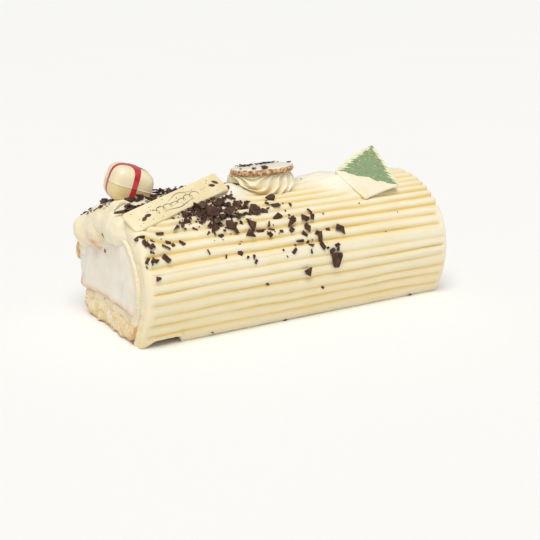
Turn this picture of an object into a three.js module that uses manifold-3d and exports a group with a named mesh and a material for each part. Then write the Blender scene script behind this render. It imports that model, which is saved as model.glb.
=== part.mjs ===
// Yule log cake: a sponge roll round a cream core, coated in combed buttercream and decorated along the top.
// Millimetres. The origin is the centre of the flat underside, +X runs along the log, +Y to its back, +Z up.
import * as THREE from "three";
import { mergeVertices } from "three/addons/utils/BufferGeometryUtils.js";
import Module from "manifold-3d";

const wasm = await Module();
wasm.setup();
const { degToRad, radToDeg, smoothstep, clamp } = THREE.MathUtils;

// Driving dimensions. An oval section has a half width, and one semi-axis above its centre and one below.
const GAP = 0.3;
const LOG_LENGTH = 235;
const CENTRE_Z = 35;
const COAT = { halfWidth: 56, rise: 49, fall: 60 };
const CORE = { halfWidth: 44, rise: 38, fall: 60 };
const CREAM = { halfWidth: 40.5, rise: 34.5, floor: 13.5, bulge: 4 };
const SEAM = { z: 7, thickness: 1.6, frontY: -24, bendY: 28, topZ: 15.1 };
const LEFT = -LOG_LENGTH / 2;
const RIGHT = LOG_LENGTH / 2;

// Angles nearer than this are the same one.
const SAME_ANGLE = 1e-6;
// Two strokes of a toothed comb on each side, as angles round the section: 0 is the front and 90 the top.
const LOWER_STROKE = { first: -26, pitch: 7.3, grooves: 6 };
const UPPER_STROKE = { first: 22.2, pitch: 7.6, grooves: 9 };
const GROOVE = { depth: 1.5, halfAngle: 2.1, leftEnd: 8, rightEnd: 3 };
const RIM_RADIUS = { left: 5, right: 2 };
const RIGHT_DROOP = 1;

// Cream pushed up by the spatula: where it lies, how far it reaches and how high it stands.
const SMEARS = [
  { x: 46, angle: 90, alongX: 17, alongAngle: 14, height: 5 },
  { x: 63, angle: 73, alongX: 12, alongAngle: 12, height: 5 },
  { x: -34, angle: 84, alongX: 9, alongAngle: 11, height: 5.5 },
  { x: -100, angle: 95, alongX: 14, alongAngle: 16, height: 2.5 },
];
// Lumps of cream folded over the top of the left end, in an outer and an inner row.
const LUMP_ROWS = [
  { from: 78, to: 158, count: 5, inset: 11, radius: 12.5 },
  { from: 104, to: 146, count: 3, inset: 20, radius: 8.5 },
];
const FOOT_NOTCH = { from: -114.5, to: -92, depth: 18, height: 4.5 };

const GIFT = { side: 28.8, height: 24.8, roundness: 4, draft: 2.8, lip: 0.5, centre: [-99.3, 12, 93.1] };
const GIFT_TURN = -7.4;
const GIFT_LEAN = { axis: new THREE.Vector3(0.282, 0.959, 0), angle: 19.8 };
const GREETING = { length: 82, width: 16, thickness: 2.5, centre: [-79, -18.5, 84.5] };
const GREETING_ALONG = new THREE.Vector3(77, 23, 14.5);
const GREETING_ACROSS = new THREE.Vector3(-5, 10, 8.3);
const ROSETTE = { centre: [-4, 3], bottom: 78, top: 93, radius: 21, belly: 2, flutes: 12, fluteDepth: 2.2, twist: 38 };
const DISC = { radius: 21.5, thickness: 3.8, centre: [-3.1, 3, 95.3], tiltBack: 6.2, tiltLeft: 1.6 };
// The tree topper's four corners in its own plane, and how far each edge after a corner bows outwards.
const TREE = {
  corners: [
    { at: [2.3, 33.5], bow: 2 },
    { at: [-24.6, 0], bow: 0.4 },
    { at: [-1.3, -19.1], bow: -0.8 },
    { at: [23.5, 0], bow: 0.8 },
  ],
  thickness: 2.2,
  centre: [68.4, -24.8, 85.9],
  turn: [40, -6.3, -28.1],
};
// The largest chocolate flakes: place on the coat, size along the log and round it, turn on the surface.
const FLAKE_THICKNESS = 1.8;
const FLAKES = [
  { x: 20.9, angle: 5, along: 10, round: 14, turn: 12 },
  { x: -2.8, angle: 1, along: 7.5, round: 6, turn: 30 },
  { x: -40.5, angle: 36.8, along: 8, round: 6, turn: -20 },
  { x: -29.1, angle: 55.4, along: 10, round: 11, turn: 40 },
  { x: -12.3, angle: 65.6, along: 8.5, round: 7, turn: 5 },
  { x: 27.1, angle: 28.8, along: 7, round: 8, turn: -35 },
  { x: -52, angle: 46, along: 8.5, round: 7.5, turn: 60 },
];

const finish = (color, roughness) => new THREE.MeshStandardMaterial({ color, roughness, metalness: 0 });
const BUTTERCREAM = finish(0xf3e6bd, 0.5);
const SPONGE = finish(0xe3c288, 0.9);
const CORE_CREAM = finish(0xf0eadb, 0.55);
const WHITE_CHOCOLATE = finish(0xf1e3b2, 0.35);
const DARK_CHOCOLATE = finish(0x3a2424, 0.4);

// A closed mesh from a geometry, as a solid for joins and cuts.
function solidOf(geometry) {
  const bare = geometry.index ? geometry.toNonIndexed() : geometry.clone();
  bare.deleteAttribute("normal");
  bare.deleteAttribute("uv");
  const merged = mergeVertices(bare, 1e-4);
  return new wasm.Manifold(
    new wasm.Mesh({
      numProp: 3,
      vertProperties: merged.attributes.position.array,
      triVerts: new Uint32Array(merged.index.array),
    }),
  );
}

function geometryOf(solid) {
  const { vertProperties, triVerts, numProp } = solid.getMesh();
  const geometry = new THREE.BufferGeometry();
  const stride = new THREE.InterleavedBuffer(vertProperties, numProp);
  geometry.setAttribute("position", new THREE.InterleavedBufferAttribute(stride, 3, 0));
  geometry.setIndex([...triVerts]);
  const flat = geometry.toNonIndexed();
  flat.computeVertexNormals();
  return flat;
}

// A closed skin over loops of points. The loops run anticlockwise as seen from the side they advance to.
function loft(loops) {
  const count = loops[0].length;
  const points = loops.flat();
  const faces = [];
  for (let k = 0; k + 1 < loops.length; k++)
    for (let j = 0; j < count; j++) {
      const next = (j + 1) % count;
      const [a, b, c, d] = [k * count + j, k * count + next, (k + 1) * count + next, (k + 1) * count + j];
      faces.push(a, b, c, a, c, d);
    }
  for (const [loop, flip] of [[0, true], [loops.length - 1, false]]) {
    const centre = points.length;
    const sum = loops[loop].reduce((total, p) => total.add(p), new THREE.Vector3());
    points.push(sum.divideScalar(count));
    for (let j = 0; j < count; j++) {
      const [a, b] = [loop * count + j, loop * count + ((j + 1) % count)];
      faces.push(centre, flip ? b : a, flip ? a : b);
    }
  }
  const geometry = new THREE.BufferGeometry().setFromPoints(points);
  geometry.setIndex(faces);
  return geometry;
}

function ovalPoint(oval, angle, x, grow = 0) {
  const turn = degToRad(angle);
  const vertical = (turn > 0 && turn < Math.PI ? oval.rise : oval.fall) + grow;
  const y = -(oval.halfWidth + grow) * Math.cos(turn);
  return new THREE.Vector3(x, y, CENTRE_Z + vertical * Math.sin(turn));
}

// How far below the horizontal an oval reaches the height z, in degrees.
const dipTo = (oval, z) => radToDeg(Math.asin((CENTRE_Z - z) / oval.fall));

// A section from its front foot over the top to its back foot, so that it runs anticlockwise seen from the left.
function ovalLoop(oval, x, floor, steps, grow = 0) {
  const dip = dipTo(oval, floor);
  return Array.from({ length: steps + 1 }, (_, k) => {
    const angle = THREE.MathUtils.lerp(-dip, 180 + dip, k / steps);
    return ovalPoint(oval, angle, x, grow).setZ(Math.max(floor, ovalPoint(oval, angle, x, grow).z));
  });
}

const strokeAngles = ({ first, pitch, grooves }) => Array.from({ length: grooves }, (_, k) => first + k * pitch);
const FRONT_GROOVES = [...strokeAngles(LOWER_STROKE), ...strokeAngles(UPPER_STROKE)];
const GROOVES = [...FRONT_GROOVES, ...FRONT_GROOVES.map((angle) => 180 - angle)];

// Height of the smeared cream at a place on the coat.
function smearHeight(x, angle) {
  const bump = ({ x: at, angle: round, alongX, alongAngle, height }) =>
    height * Math.exp(-(((x - at) / alongX) ** 2) - ((angle - round) / alongAngle) ** 2);
  return SMEARS.reduce((sum, smear) => sum + bump(smear), 0);
}

// How far a rim of this radius is rounded in, at a distance from its end.
function rimInset(radius, fromEnd) {
  const inside = radius - clamp(fromEnd, 0, radius);
  return radius - Math.sqrt(radius ** 2 - inside ** 2);
}

// Angles of the coat's section: the two shoulders and the floor of each groove, and some between the strokes.
function coatAngles() {
  const dip = dipTo(COAT, 0);
  const angles = GROOVES.flatMap((g) => [g - GROOVE.halfAngle, g, g + GROOVE.halfAngle]);
  const betweenStrokes = [14.4, 18.2];
  const smooth = [-dip, 180 + dip, ...betweenStrokes, ...betweenStrokes.map((a) => 180 - a), 87.5, 90, 92.5];
  return [...angles, ...smooth].sort((a, b) => a - b);
}

function coatSolid() {
  const angles = coatAngles();
  const fromLeft = [0, 0.6, 2.3, 5, GROOVE.leftEnd + 2, 18, 34];
  const onSmears = [74, 84, 94, 112, 142, 154, 165, 178, 190, 207];
  const fromRight = [GROOVE.rightEnd, 1, 0.3, 0];
  const stations = [...[...fromLeft, ...onSmears].map((d) => LEFT + d), ...fromRight.map((d) => RIGHT - d)];
  const loops = stations.reverse().map((x) => {
    const [fromL, fromR] = [x - LEFT, RIGHT - x];
    const left = smoothstep(fromL, GROOVE.leftEnd - 3, GROOVE.leftEnd + 2);
    const combed = left * smoothstep(fromR, 0, GROOVE.rightEnd);
    const inset = rimInset(RIM_RADIUS.left, fromL) + rimInset(RIM_RADIUS.right, fromR);
    const droop = RIGHT_DROOP * smoothstep(x, RIGHT - 60, RIGHT);
    return angles.map((angle) => {
      const cut = GROOVES.some((g) => Math.abs(g - angle) < SAME_ANGLE) ? GROOVE.depth * combed : 0;
      const top = Math.max(0, Math.sin(degToRad(angle)));
      const point = ovalPoint(COAT, angle, x, smearHeight(x, angle) - cut - inset);
      point.z = Math.max(0, point.z - droop * top);
      return point;
    });
  });
  return solidOf(loft(loops));
}

const boxSolid = (x0, x1, y0, y1, z0, z1) =>
  solidOf(
    new THREE.BoxGeometry(x1 - x0, y1 - y0, z1 - z0).translate((x0 + x1) / 2, (y0 + y1) / 2, (z0 + z1) / 2),
  );

// The sponge roll's outer shape, or the room for it in the coat when it is grown.
function coreSolid(grow, left, right) {
  const steps = 40;
  return solidOf(loft([right, left].map((x) => ovalLoop(CORE, x, grow > 0 ? -1 : 0, steps, grow))));
}

// The cream core with a slightly domed face at each end, and the tongue of cream between the roll's overlapped ends.
function creamSolid(grow) {
  const steps = 32;
  const oval = { ...CREAM, fall: CORE.fall };
  const domes = [[1, 0], [0.95, 0.5], [0.8, 0.85], [0.4, 1]];
  const middle = new THREE.Vector3(0, 2, CENTRE_Z + 2);
  const stations = [...domes].reverse().map(([share, out]) => [share, RIGHT + out * CREAM.bulge]);
  stations.push(...domes.map(([share, out]) => [share, LEFT - out * CREAM.bulge]));
  const loops = stations.map(([share, x]) =>
    ovalLoop(oval, x, CREAM.floor - grow, steps, grow).map((p) => p.lerp(middle.clone().setX(x), 1 - share)),
  );
  return solidOf(loft(loops)).add(tongueSolid(grow));
}

// The tongue runs along the bottom and turns up into the core at the back.
function tongueSolid(grow) {
  const half = SEAM.thickness / 2 - (grow > 0 ? 0 : GAP);
  const bend = (SEAM.topZ - SEAM.z) / 2;
  const arc = (radius, from, to) => [SEAM.bendY, SEAM.z + bend, radius, degToRad(from), degToRad(to)];
  const section = new THREE.Shape();
  section.moveTo(SEAM.frontY + half, SEAM.z - half);
  section.absarc(...arc(bend + half, -90, 90), false);
  section.absarc(...arc(bend - half, 90, -90), true);
  section.lineTo(SEAM.frontY + half, SEAM.z + half);
  section.absarc(SEAM.frontY + half, SEAM.z, half, degToRad(90), degToRad(270), false);
  const extrusion = new THREE.ExtrudeGeometry(section, { depth: LOG_LENGTH, bevelEnabled: false, curveSegments: 8 });
  // The shape's x and y become the part's Y and Z, and its depth runs along X.
  const axes = new THREE.Matrix4().makeBasis(
    new THREE.Vector3(0, 1, 0),
    new THREE.Vector3(0, 0, 1),
    new THREE.Vector3(1, 0, 0),
  );
  return solidOf(extrusion.applyMatrix4(axes).translate(LEFT, 0, 0));
}

function lumpsSolid() {
  const lumps = LUMP_ROWS.flatMap(({ from, to, count, inset, radius }) =>
    Array.from({ length: count }, (_, k) => {
      const angle = THREE.MathUtils.lerp(from, to, k / (count - 1));
      const size = radius * (1 + 0.12 * Math.cos(2.4 * k));
      const centre = ovalPoint(COAT, angle, LEFT + 1 - 1.5 * (k % 2), -inset);
      return new THREE.SphereGeometry(size, 12, 8).scale(0.85, 1, 1).translate(centre.x, centre.y, centre.z);
    }),
  );
  return lumps.map(solidOf).reduce((joined, lump) => joined.add(lump));
}

// A moulded box with rounded-square sections and a thin lip where its two halves meet.
function giftGeometry(grow = 0) {
  const { side, height, roundness, draft, lip } = GIFT;
  const layers = [-1, -0.93, -0.75, -0.45, -0.03, -0.02, 0.02, 0.03, 0.45, 0.75, 0.93, 1];
  const steps = 28;
  const loops = layers.map((level) => {
    const shrink = (1 - Math.abs(level) ** draft) ** (1 / draft);
    const reach = Math.max(0.5, shrink) * (side / 2) + (Math.abs(level) < 0.025 ? lip : 0) + grow;
    return Array.from({ length: steps }, (_, k) => {
      const turn = (2 * Math.PI * k) / steps;
      const [c, s] = [Math.cos(turn), Math.sin(turn)];
      const radius = reach / (Math.abs(c) ** roundness + Math.abs(s) ** roundness) ** (1 / roundness);
      return new THREE.Vector3(radius * c, radius * s, level * (height / 2 + grow));
    });
  });
  return loft(loops);
}

function greetingGeometry(grow = 0) {
  const [length, width, height] = [GREETING.length, GREETING.width, GREETING.thickness].map((v) => v + 2 * grow);
  const radius = 2;
  const outline = new THREE.Shape();
  outline.absarc(length / 2 - radius, width / 2 - radius, radius, 0, Math.PI / 2);
  outline.absarc(-length / 2 + radius, width / 2 - radius, radius, Math.PI / 2, Math.PI);
  outline.absarc(-length / 2 + radius, -width / 2 + radius, radius, Math.PI, 1.5 * Math.PI);
  outline.absarc(length / 2 - radius, -width / 2 + radius, radius, 1.5 * Math.PI, 2 * Math.PI);
  const options = { depth: height, bevelEnabled: false, curveSegments: 3 };
  return new THREE.ExtrudeGeometry(outline, options).translate(0, 0, -height / 2);
}

// A piped swirl: fluted sections that turn as they rise, fullest at half height.
function rosetteGeometry(grow = 0) {
  const { bottom, top, radius, belly, flutes, fluteDepth, twist } = ROSETTE;
  const steps = flutes * 4;
  const levels = 7;
  const loops = Array.from({ length: levels + 1 }, (_, level) => {
    const share = level / levels;
    const fullest = radius + belly * Math.sin(Math.PI * share);
    const z = THREE.MathUtils.lerp(bottom, top, share) + (level ? 0 : -grow);
    return Array.from({ length: steps }, (_, k) => {
      const turn = (2 * Math.PI * k) / steps;
      const flute = Math.cos(flutes * turn) > 0 ? 1 : Math.cos(flutes * turn);
      const reach = fullest + grow + (fluteDepth / 2) * (flute - 1);
      const round = turn + degToRad(twist * share);
      return new THREE.Vector3(reach * Math.cos(round), reach * Math.sin(round), z);
    });
  });
  return loft(loops);
}

// The tree topper: its front face lies in the plane z = 0, and its edges are arcs from corner to corner.
function treeGeometry(grow = 0) {
  const corners = TREE.corners.map(({ at, bow }) => {
    const point = new THREE.Vector2(...at);
    return { point: point.setLength(point.length() + 1.5 * grow), bow: bow + grow };
  });
  const outline = new THREE.Shape().moveTo(corners[0].point.x, corners[0].point.y);
  corners.forEach(({ point, bow }, k) => {
    const next = corners[(k + 1) % corners.length].point;
    const outward = next.clone().sub(point).rotateAround(new THREE.Vector2(), -Math.PI / 2).normalize();
    const control = point.clone().lerp(next, 0.5).addScaledVector(outward, 2 * bow);
    outline.quadraticCurveTo(control.x, control.y, next.x, next.y);
  });
  const depth = TREE.thickness + 2 * grow;
  const options = { depth, bevelEnabled: false, curveSegments: 6 };
  return new THREE.ExtrudeGeometry(outline, options).translate(0, 0, grow - depth);
}

// An angular shard of a chocolate sheet: a polygon with uneven corners.
function flakeGeometry({ along, round }, seed) {
  const corners = 5 + (seed % 2);
  const outline = Array.from({ length: corners }, (_, k) => {
    const turn = (2 * Math.PI * (k + 0.25 * Math.sin(3 * seed + 2 * k))) / corners;
    const reach = 0.5 * (0.86 + 0.14 * Math.sin(5 * seed + 7 * k));
    return new THREE.Vector2(along * reach * Math.cos(turn), round * reach * Math.sin(turn));
  });
  const options = { depth: FLAKE_THICKNESS, bevelEnabled: false };
  return new THREE.ExtrudeGeometry(new THREE.Shape(outline), options);
}

const cake = new THREE.Group();

function addPiece(name, geometry, material) {
  const mesh = new THREE.Mesh(geometry, material);
  mesh.name = name;
  cake.add(mesh);
  return mesh;
}

// The room that a placed topping takes in the coat, with clearance all round.
function seatOf(mesh, grownGeometry) {
  mesh.updateMatrix();
  return solidOf(grownGeometry.applyMatrix4(mesh.matrix));
}

function placeGift() {
  const gift = addPiece("gift_bonbon", giftGeometry(), WHITE_CHOCOLATE);
  const lean = new THREE.Quaternion().setFromAxisAngle(GIFT_LEAN.axis, degToRad(GIFT_LEAN.angle));
  const turn = new THREE.Quaternion().setFromAxisAngle(new THREE.Vector3(0, 0, 1), degToRad(GIFT_TURN));
  gift.position.set(...GIFT.centre);
  gift.quaternion.copy(lean.multiply(turn));
  return seatOf(gift, giftGeometry(GAP));
}

function placeGreeting() {
  const plaque = addPiece("greeting_plaque", greetingGeometry(), WHITE_CHOCOLATE);
  const along = GREETING_ALONG.clone().normalize();
  const facing = along.clone().cross(GREETING_ACROSS).normalize();
  const across = facing.clone().cross(along);
  plaque.position.set(...GREETING.centre);
  plaque.quaternion.setFromRotationMatrix(new THREE.Matrix4().makeBasis(along, across, facing));
  return seatOf(plaque, greetingGeometry(GAP));
}

// The disc's under face presses its own tilted seat into the top of the rosette.
function placeRosette(discSeat) {
  const rosette = (grow) => rosetteGeometry(grow).translate(...ROSETTE.centre, 0);
  addPiece("piped_rosette", geometryOf(solidOf(rosette(0)).subtract(discSeat)), BUTTERCREAM);
  return solidOf(rosette(GAP));
}

function discGeometry(grow = 0) {
  const radius = DISC.radius + grow;
  return new THREE.CylinderGeometry(radius, radius, DISC.thickness + 2 * grow, 48).rotateX(Math.PI / 2);
}

function placeDisc() {
  const disc = addPiece("topper_disc", discGeometry(), WHITE_CHOCOLATE);
  disc.position.set(...DISC.centre);
  disc.rotation.set(degToRad(-DISC.tiltBack), degToRad(-DISC.tiltLeft), 0);
  return seatOf(disc, discGeometry(GAP));
}

function placeTree() {
  const tree = addPiece("tree_plaque", treeGeometry(), WHITE_CHOCOLATE);
  tree.position.set(...TREE.centre);
  tree.rotation.set(...TREE.turn.map(degToRad), "XYZ");
  return seatOf(tree, treeGeometry(GAP));
}

function placeFlakes() {
  FLAKES.forEach((flake, k) => {
    const mesh = addPiece(`chocolate_flake_${k + 1}`, flakeGeometry(flake, k), DARK_CHOCOLATE);
    const turn = degToRad(flake.angle);
    const rise = turn > 0 ? COAT.rise : COAT.fall;
    const normal = new THREE.Vector3(0, -Math.cos(turn) / COAT.halfWidth, Math.sin(turn) / rise).normalize();
    const along = new THREE.Vector3(1, 0, 0).applyAxisAngle(normal, degToRad(flake.turn));
    mesh.position.copy(ovalPoint(COAT, flake.angle, flake.x)).addScaledVector(normal, GAP);
    const basis = new THREE.Matrix4().makeBasis(along, normal.clone().cross(along), normal);
    mesh.quaternion.setFromRotationMatrix(basis);
  });
}

function placeLog(seats) {
  const cream = creamSolid(0);
  const creamRoom = creamSolid(GAP);
  const roll = coreSolid(0, LEFT, RIGHT);
  addPiece("cream_filling", geometryOf(cream), CORE_CREAM);
  addPiece("sponge_roll", geometryOf(roll.subtract(creamRoom)), SPONGE);
  const notch = boxSolid(
    FOOT_NOTCH.from,
    FOOT_NOTCH.to,
    -COAT.halfWidth,
    -COAT.halfWidth + FOOT_NOTCH.depth,
    -1,
    FOOT_NOTCH.height,
  );
  const throughRoom = coreSolid(GAP, LEFT - 2 * GAP, RIGHT + 2 * GAP);
  const coat = coatSolid().add(lumpsSolid().subtract(creamRoom)).subtract(throughRoom).subtract(notch);
  const seated = seats.reduce((left, seat) => left.subtract(seat), coat);
  addPiece("buttercream_coat", geometryOf(seated), BUTTERCREAM);
}

const seats = [placeGift(), placeGreeting(), placeRosette(placeDisc()), placeTree()];
placeFlakes();
placeLog(seats);

export default cake;
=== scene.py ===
import math
from itertools import combinations

import bpy
import numpy as np
from mathutils import Matrix, Vector
from mathutils.bvhtree import BVHTree


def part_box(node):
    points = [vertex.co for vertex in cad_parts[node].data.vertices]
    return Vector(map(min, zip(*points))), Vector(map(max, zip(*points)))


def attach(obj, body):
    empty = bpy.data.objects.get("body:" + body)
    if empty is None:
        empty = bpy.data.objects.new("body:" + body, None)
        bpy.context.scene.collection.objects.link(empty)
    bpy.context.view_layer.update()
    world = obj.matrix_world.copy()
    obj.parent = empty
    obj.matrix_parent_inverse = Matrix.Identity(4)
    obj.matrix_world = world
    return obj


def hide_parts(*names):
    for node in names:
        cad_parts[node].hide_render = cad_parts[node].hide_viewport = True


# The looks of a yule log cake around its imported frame. Shapes are worked out in millimetres, with +X
# along the log, +Y to its back and +Z up, and become metres where a mesh is made. An angle runs round the
# log's section: 0 is its front, 90 its top and 180 its back.
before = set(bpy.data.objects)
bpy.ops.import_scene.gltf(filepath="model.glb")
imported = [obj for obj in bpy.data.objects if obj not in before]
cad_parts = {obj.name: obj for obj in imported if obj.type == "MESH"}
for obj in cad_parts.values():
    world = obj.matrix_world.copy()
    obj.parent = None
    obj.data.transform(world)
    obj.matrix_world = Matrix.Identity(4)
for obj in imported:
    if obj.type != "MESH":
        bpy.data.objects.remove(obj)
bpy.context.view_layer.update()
MM = 0.001


# ---------------------------------------------------------------- places, from the frame


def node_box(name):
    """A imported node's low and high corners in millimetres."""
    low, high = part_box(name)
    return np.array(low) / MM, np.array(high) / MM


def node_centre(name):
    """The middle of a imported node's box."""
    low, high = node_box(name)
    return (low + high) / 2


ROLL_LOW, ROLL_HIGH = node_box("sponge_roll")
LEFT, RIGHT = ROLL_LOW[0], ROLL_HIGH[0]
# The height of every section's centre.
CENTRE_Z = 35.0
# An oval section: its half width, its reach above its centre and its reach below.
COAT = (56.0, 49.0, 60.0)
ROLL = (ROLL_HIGH[1], ROLL_HIGH[2] - CENTRE_Z, 60.0)
CREAM = (ROLL_HIGH[1] - 3.5, ROLL_HIGH[2] - CENTRE_Z - 3.5, 60.0)
# Where the white core stops above the sponge under it.
CREAM_FLOOR = 19.2
# How far below level the coat's foot lies, in degrees round its section.
FOOT_DIP = math.degrees(math.asin(CENTRE_Z / COAT[2]))
# The coat's inner skin stands this far off the sponge, and the core reaches this far into it.
SKIN_GAP = 0.3


# ---------------------------------------------------------------- numbers for whole arrays


def smooth(value, low, high):
    """0 below low and 1 above high, with an S-curve between."""
    share = np.clip((value - low) / (high - low), 0.0, 1.0)
    return share * share * (3.0 - 2.0 * share)


def lattice(ix, iy, iz, seed):
    """A steady value from 0 to 1 for each whole-number place: its coordinates, multiplied and mixed bit
    by bit."""
    with np.errstate(over="ignore"):
        mixed = ix.astype(np.uint32) * np.uint32(374761393) + iy.astype(np.uint32) * np.uint32(668265263)
        mixed = mixed + iz.astype(np.uint32) * np.uint32(2246822519) + np.uint32(seed * 97 + 13)
        mixed = (mixed ^ (mixed >> np.uint32(15))) * np.uint32(2246822519)
        mixed = (mixed ^ (mixed >> np.uint32(13))) * np.uint32(3266489917)
    return ((mixed ^ (mixed >> np.uint32(16))) & np.uint32(0xFFFFFF)) / float(0xFFFFFF)


def noise(x, y, z, seed):
    """Rolling noise from -1 to 1: the lattice values of the eight corners round a place, blended by
    S-curves."""
    x, y, z = np.broadcast_arrays(*(np.asarray(v, float) for v in (x, y, z)))
    floors = [np.floor(v).astype(np.int64) for v in (x, y, z)]
    shares = [smooth(v - f, 0.0, 1.0) for v, f in zip((x, y, z), floors)]
    total = np.zeros(x.shape)
    for corner in range(8):
        steps = [(corner >> axis) & 1 for axis in range(3)]
        weight = np.ones(x.shape)
        for step, share in zip(steps, shares):
            weight = weight * (share if step else 1.0 - share)
        total += weight * lattice(*(f + step for f, step in zip(floors, steps)), seed)
    return 2.0 * total - 1.0


def domes(x, y, z, seed):
    """Round billows packed side by side, from 0 in the creases to 1 on top: a dome over the nearest of one
    scattered centre in each unit cube."""
    x, y, z = np.broadcast_arrays(*(np.asarray(v, float) for v in (x, y, z)))
    floors = [np.floor(v).astype(np.int64) for v in (x, y, z)]
    nearest = np.full(x.shape, 9.0)
    for corner in range(27):
        cell = [f + (corner // 3**axis) % 3 - 1 for axis, f in enumerate(floors)]
        gap = [
            value - edge - 0.15 - 0.7 * lattice(*cell, seed + 50 * axis)
            for axis, (value, edge) in enumerate(zip((x, y, z), cell))
        ]
        nearest = np.minimum(nearest, gap[0] ** 2 + gap[1] ** 2 + gap[2] ** 2)
    return np.sqrt(np.clip(1.0 - nearest, 0.0, 1.0))


def oval_point(oval, angle, grow):
    """A section's y and z at an angle, moved out by grow: each semi-axis is lengthened by it."""
    half, rise, fall = oval
    turn = np.radians(angle)
    vertical = np.where(np.sin(turn) > 0.0, rise, fall) + grow
    return -(half + grow) * np.cos(turn), CENTRE_Z + vertical * np.sin(turn)


def oval_normal(oval, angle):
    """The way a section faces at an angle: its coordinates over its semi-axes."""
    half, rise, fall = oval
    turn = np.radians(angle)
    y, z = -np.cos(turn) / half, np.sin(turn) / np.where(np.sin(turn) > 0.0, rise, fall)
    return np.stack([0.0 * y, y, z], axis=-1) / np.hypot(y, z)[..., None]


# ---------------------------------------------------------------- meshes and materials


def grid(rows, columns, wrap_rows=False, wrap_columns=False):
    """The four-cornered faces over a grid of points laid out row by row."""
    down = np.arange(rows if wrap_rows else rows - 1)[:, None]
    along = np.arange(columns if wrap_columns else columns - 1)[None, :]
    beside = (along + 1) % columns
    row, next_row = down * columns, (down + 1) % rows * columns
    corners = [row + along, row + beside, next_row + beside, next_row + along]
    return np.stack([c.ravel() for c in corners], axis=1).tolist()


def fan(ring, centre):
    """Triangles from each side of a closed ring of points to one centre."""
    return [(a, b, centre) for a, b in zip(ring, ring[1:] + ring[:1])]


def volume(points, faces):
    """The signed volume inside a closed mesh: six times it is the sum of its triangles' triple products."""
    total = 0.0
    for size in {len(face) for face in faces}:
        same = np.array([face for face in faces if len(face) == size])
        first = points[same[:, 0]]
        for k in range(1, size - 1):
            total += np.einsum("ij,ij->", first, np.cross(points[same[:, k]], points[same[:, k + 1]]))
    return total / 6.0


def add_piece(name, points, faces, material, stands_for=(), values=None, flat=False):
    """A piece in the row frame from points in millimetres. Its faces are turned to point outwards, values
    are numbers kept with each point for the material, and stands_for names the CAD nodes that it
    replaces."""
    points = np.asarray(points, float)
    if volume(points, faces) < 0.0:
        faces = [tuple(reversed(face)) for face in faces]
    mesh = bpy.data.meshes.new(name)
    mesh.from_pydata((points * MM).tolist(), [], faces)
    mesh.polygons.foreach_set("use_smooth", np.full(len(mesh.polygons), not flat))
    for key, numbers in (values or {}).items():
        kept = mesh.attributes.new(key, "FLOAT", "POINT")
        kept.data.foreach_set("value", np.asarray(numbers, np.float32).ravel())
    mesh.materials.append(material)
    mesh.update()
    piece = bpy.data.objects.new(name, mesh)
    bpy.context.scene.collection.objects.link(piece)
    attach(piece, "root")
    if stands_for:
        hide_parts(*stands_for)
    return piece


def linear(colour):
    """The linear colour of an sRGB hex value."""
    channels = [int(colour[k : k + 2], 16) / 255.0 for k in (0, 2, 4)]
    return [c / 12.92 if c <= 0.04045 else ((c + 0.055) / 1.055) ** 2.4 for c in channels] + [1.0]


def per_mm(size):
    """The scale of a pattern on Object coordinates whose features are this many millimetres across."""
    return 1.0 / (size * MM)


def feed(tree, node, inputs):
    """Sets a node's inputs: a socket is linked, a hex value becomes a linear colour, and any other value
    is kept on the input itself."""
    for key, given in inputs.items():
        if isinstance(given, bpy.types.NodeSocket):
            tree.links.new(given, node.inputs[key])
        else:
            node.inputs[key].default_value = linear(given) if isinstance(given, str) else given


def add(tree, kind, inputs, out=0, **settings):
    """A shader node with its settings and its inputs. It gives the output that is asked for."""
    node = tree.nodes.new("ShaderNode" + kind)
    for key, value in settings.items():
        setattr(node, key, value)
    feed(tree, node, inputs)
    return node.outputs[out]


def blank(name):
    """A new material, its tree and its Object coordinates."""
    material = bpy.data.materials.new(name)
    material.use_nodes = True
    tree = material.node_tree
    return material, tree, add(tree, "TexCoord", {}, out="Object")


def finish(tree, depth, reach, inputs):
    """The Principled shader's own inputs. Light spreads under the surface, reach millimetres deep in red
    and less in green and blue, with depth as its weight."""
    spread = {
        "Subsurface Weight": depth, "Subsurface Scale": reach * MM, "Subsurface Radius": (1.0, 0.7, 0.42),
    }
    feed(tree, tree.nodes["Principled BSDF"], {**spread, **inputs})


# The colour mix node's inputs: its share and the two colours.
SHARE, FIRST, SECOND = 0, 6, 7
COLOUR = {"out": 2, "data_type": "RGBA"}


def clouded(tree, place, size, light, deep, low=0.35, high=0.65, detail=3.0):
    """Two colours in clouds this many millimetres across: rolling noise, stretched from low to high,
    mixes them."""
    clouds = add(tree, "TexNoise", {"Vector": place, "Scale": per_mm(size), "Detail": detail})
    mottle = add(tree, "MapRange", {"Value": clouds, "From Min": low, "From Max": high})
    return add(tree, "Mix", {SHARE: mottle, FIRST: light, SECOND: deep}, **COLOUR)


def laid_over(tree, under, colour, kept):
    """A colour laid over another, as strongly as the value of that name kept with each point."""
    share = add(tree, "Attribute", {}, out="Fac", attribute_name=kept)
    return add(tree, "Mix", {SHARE: share, FIRST: under, SECOND: colour}, **COLOUR)


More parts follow.
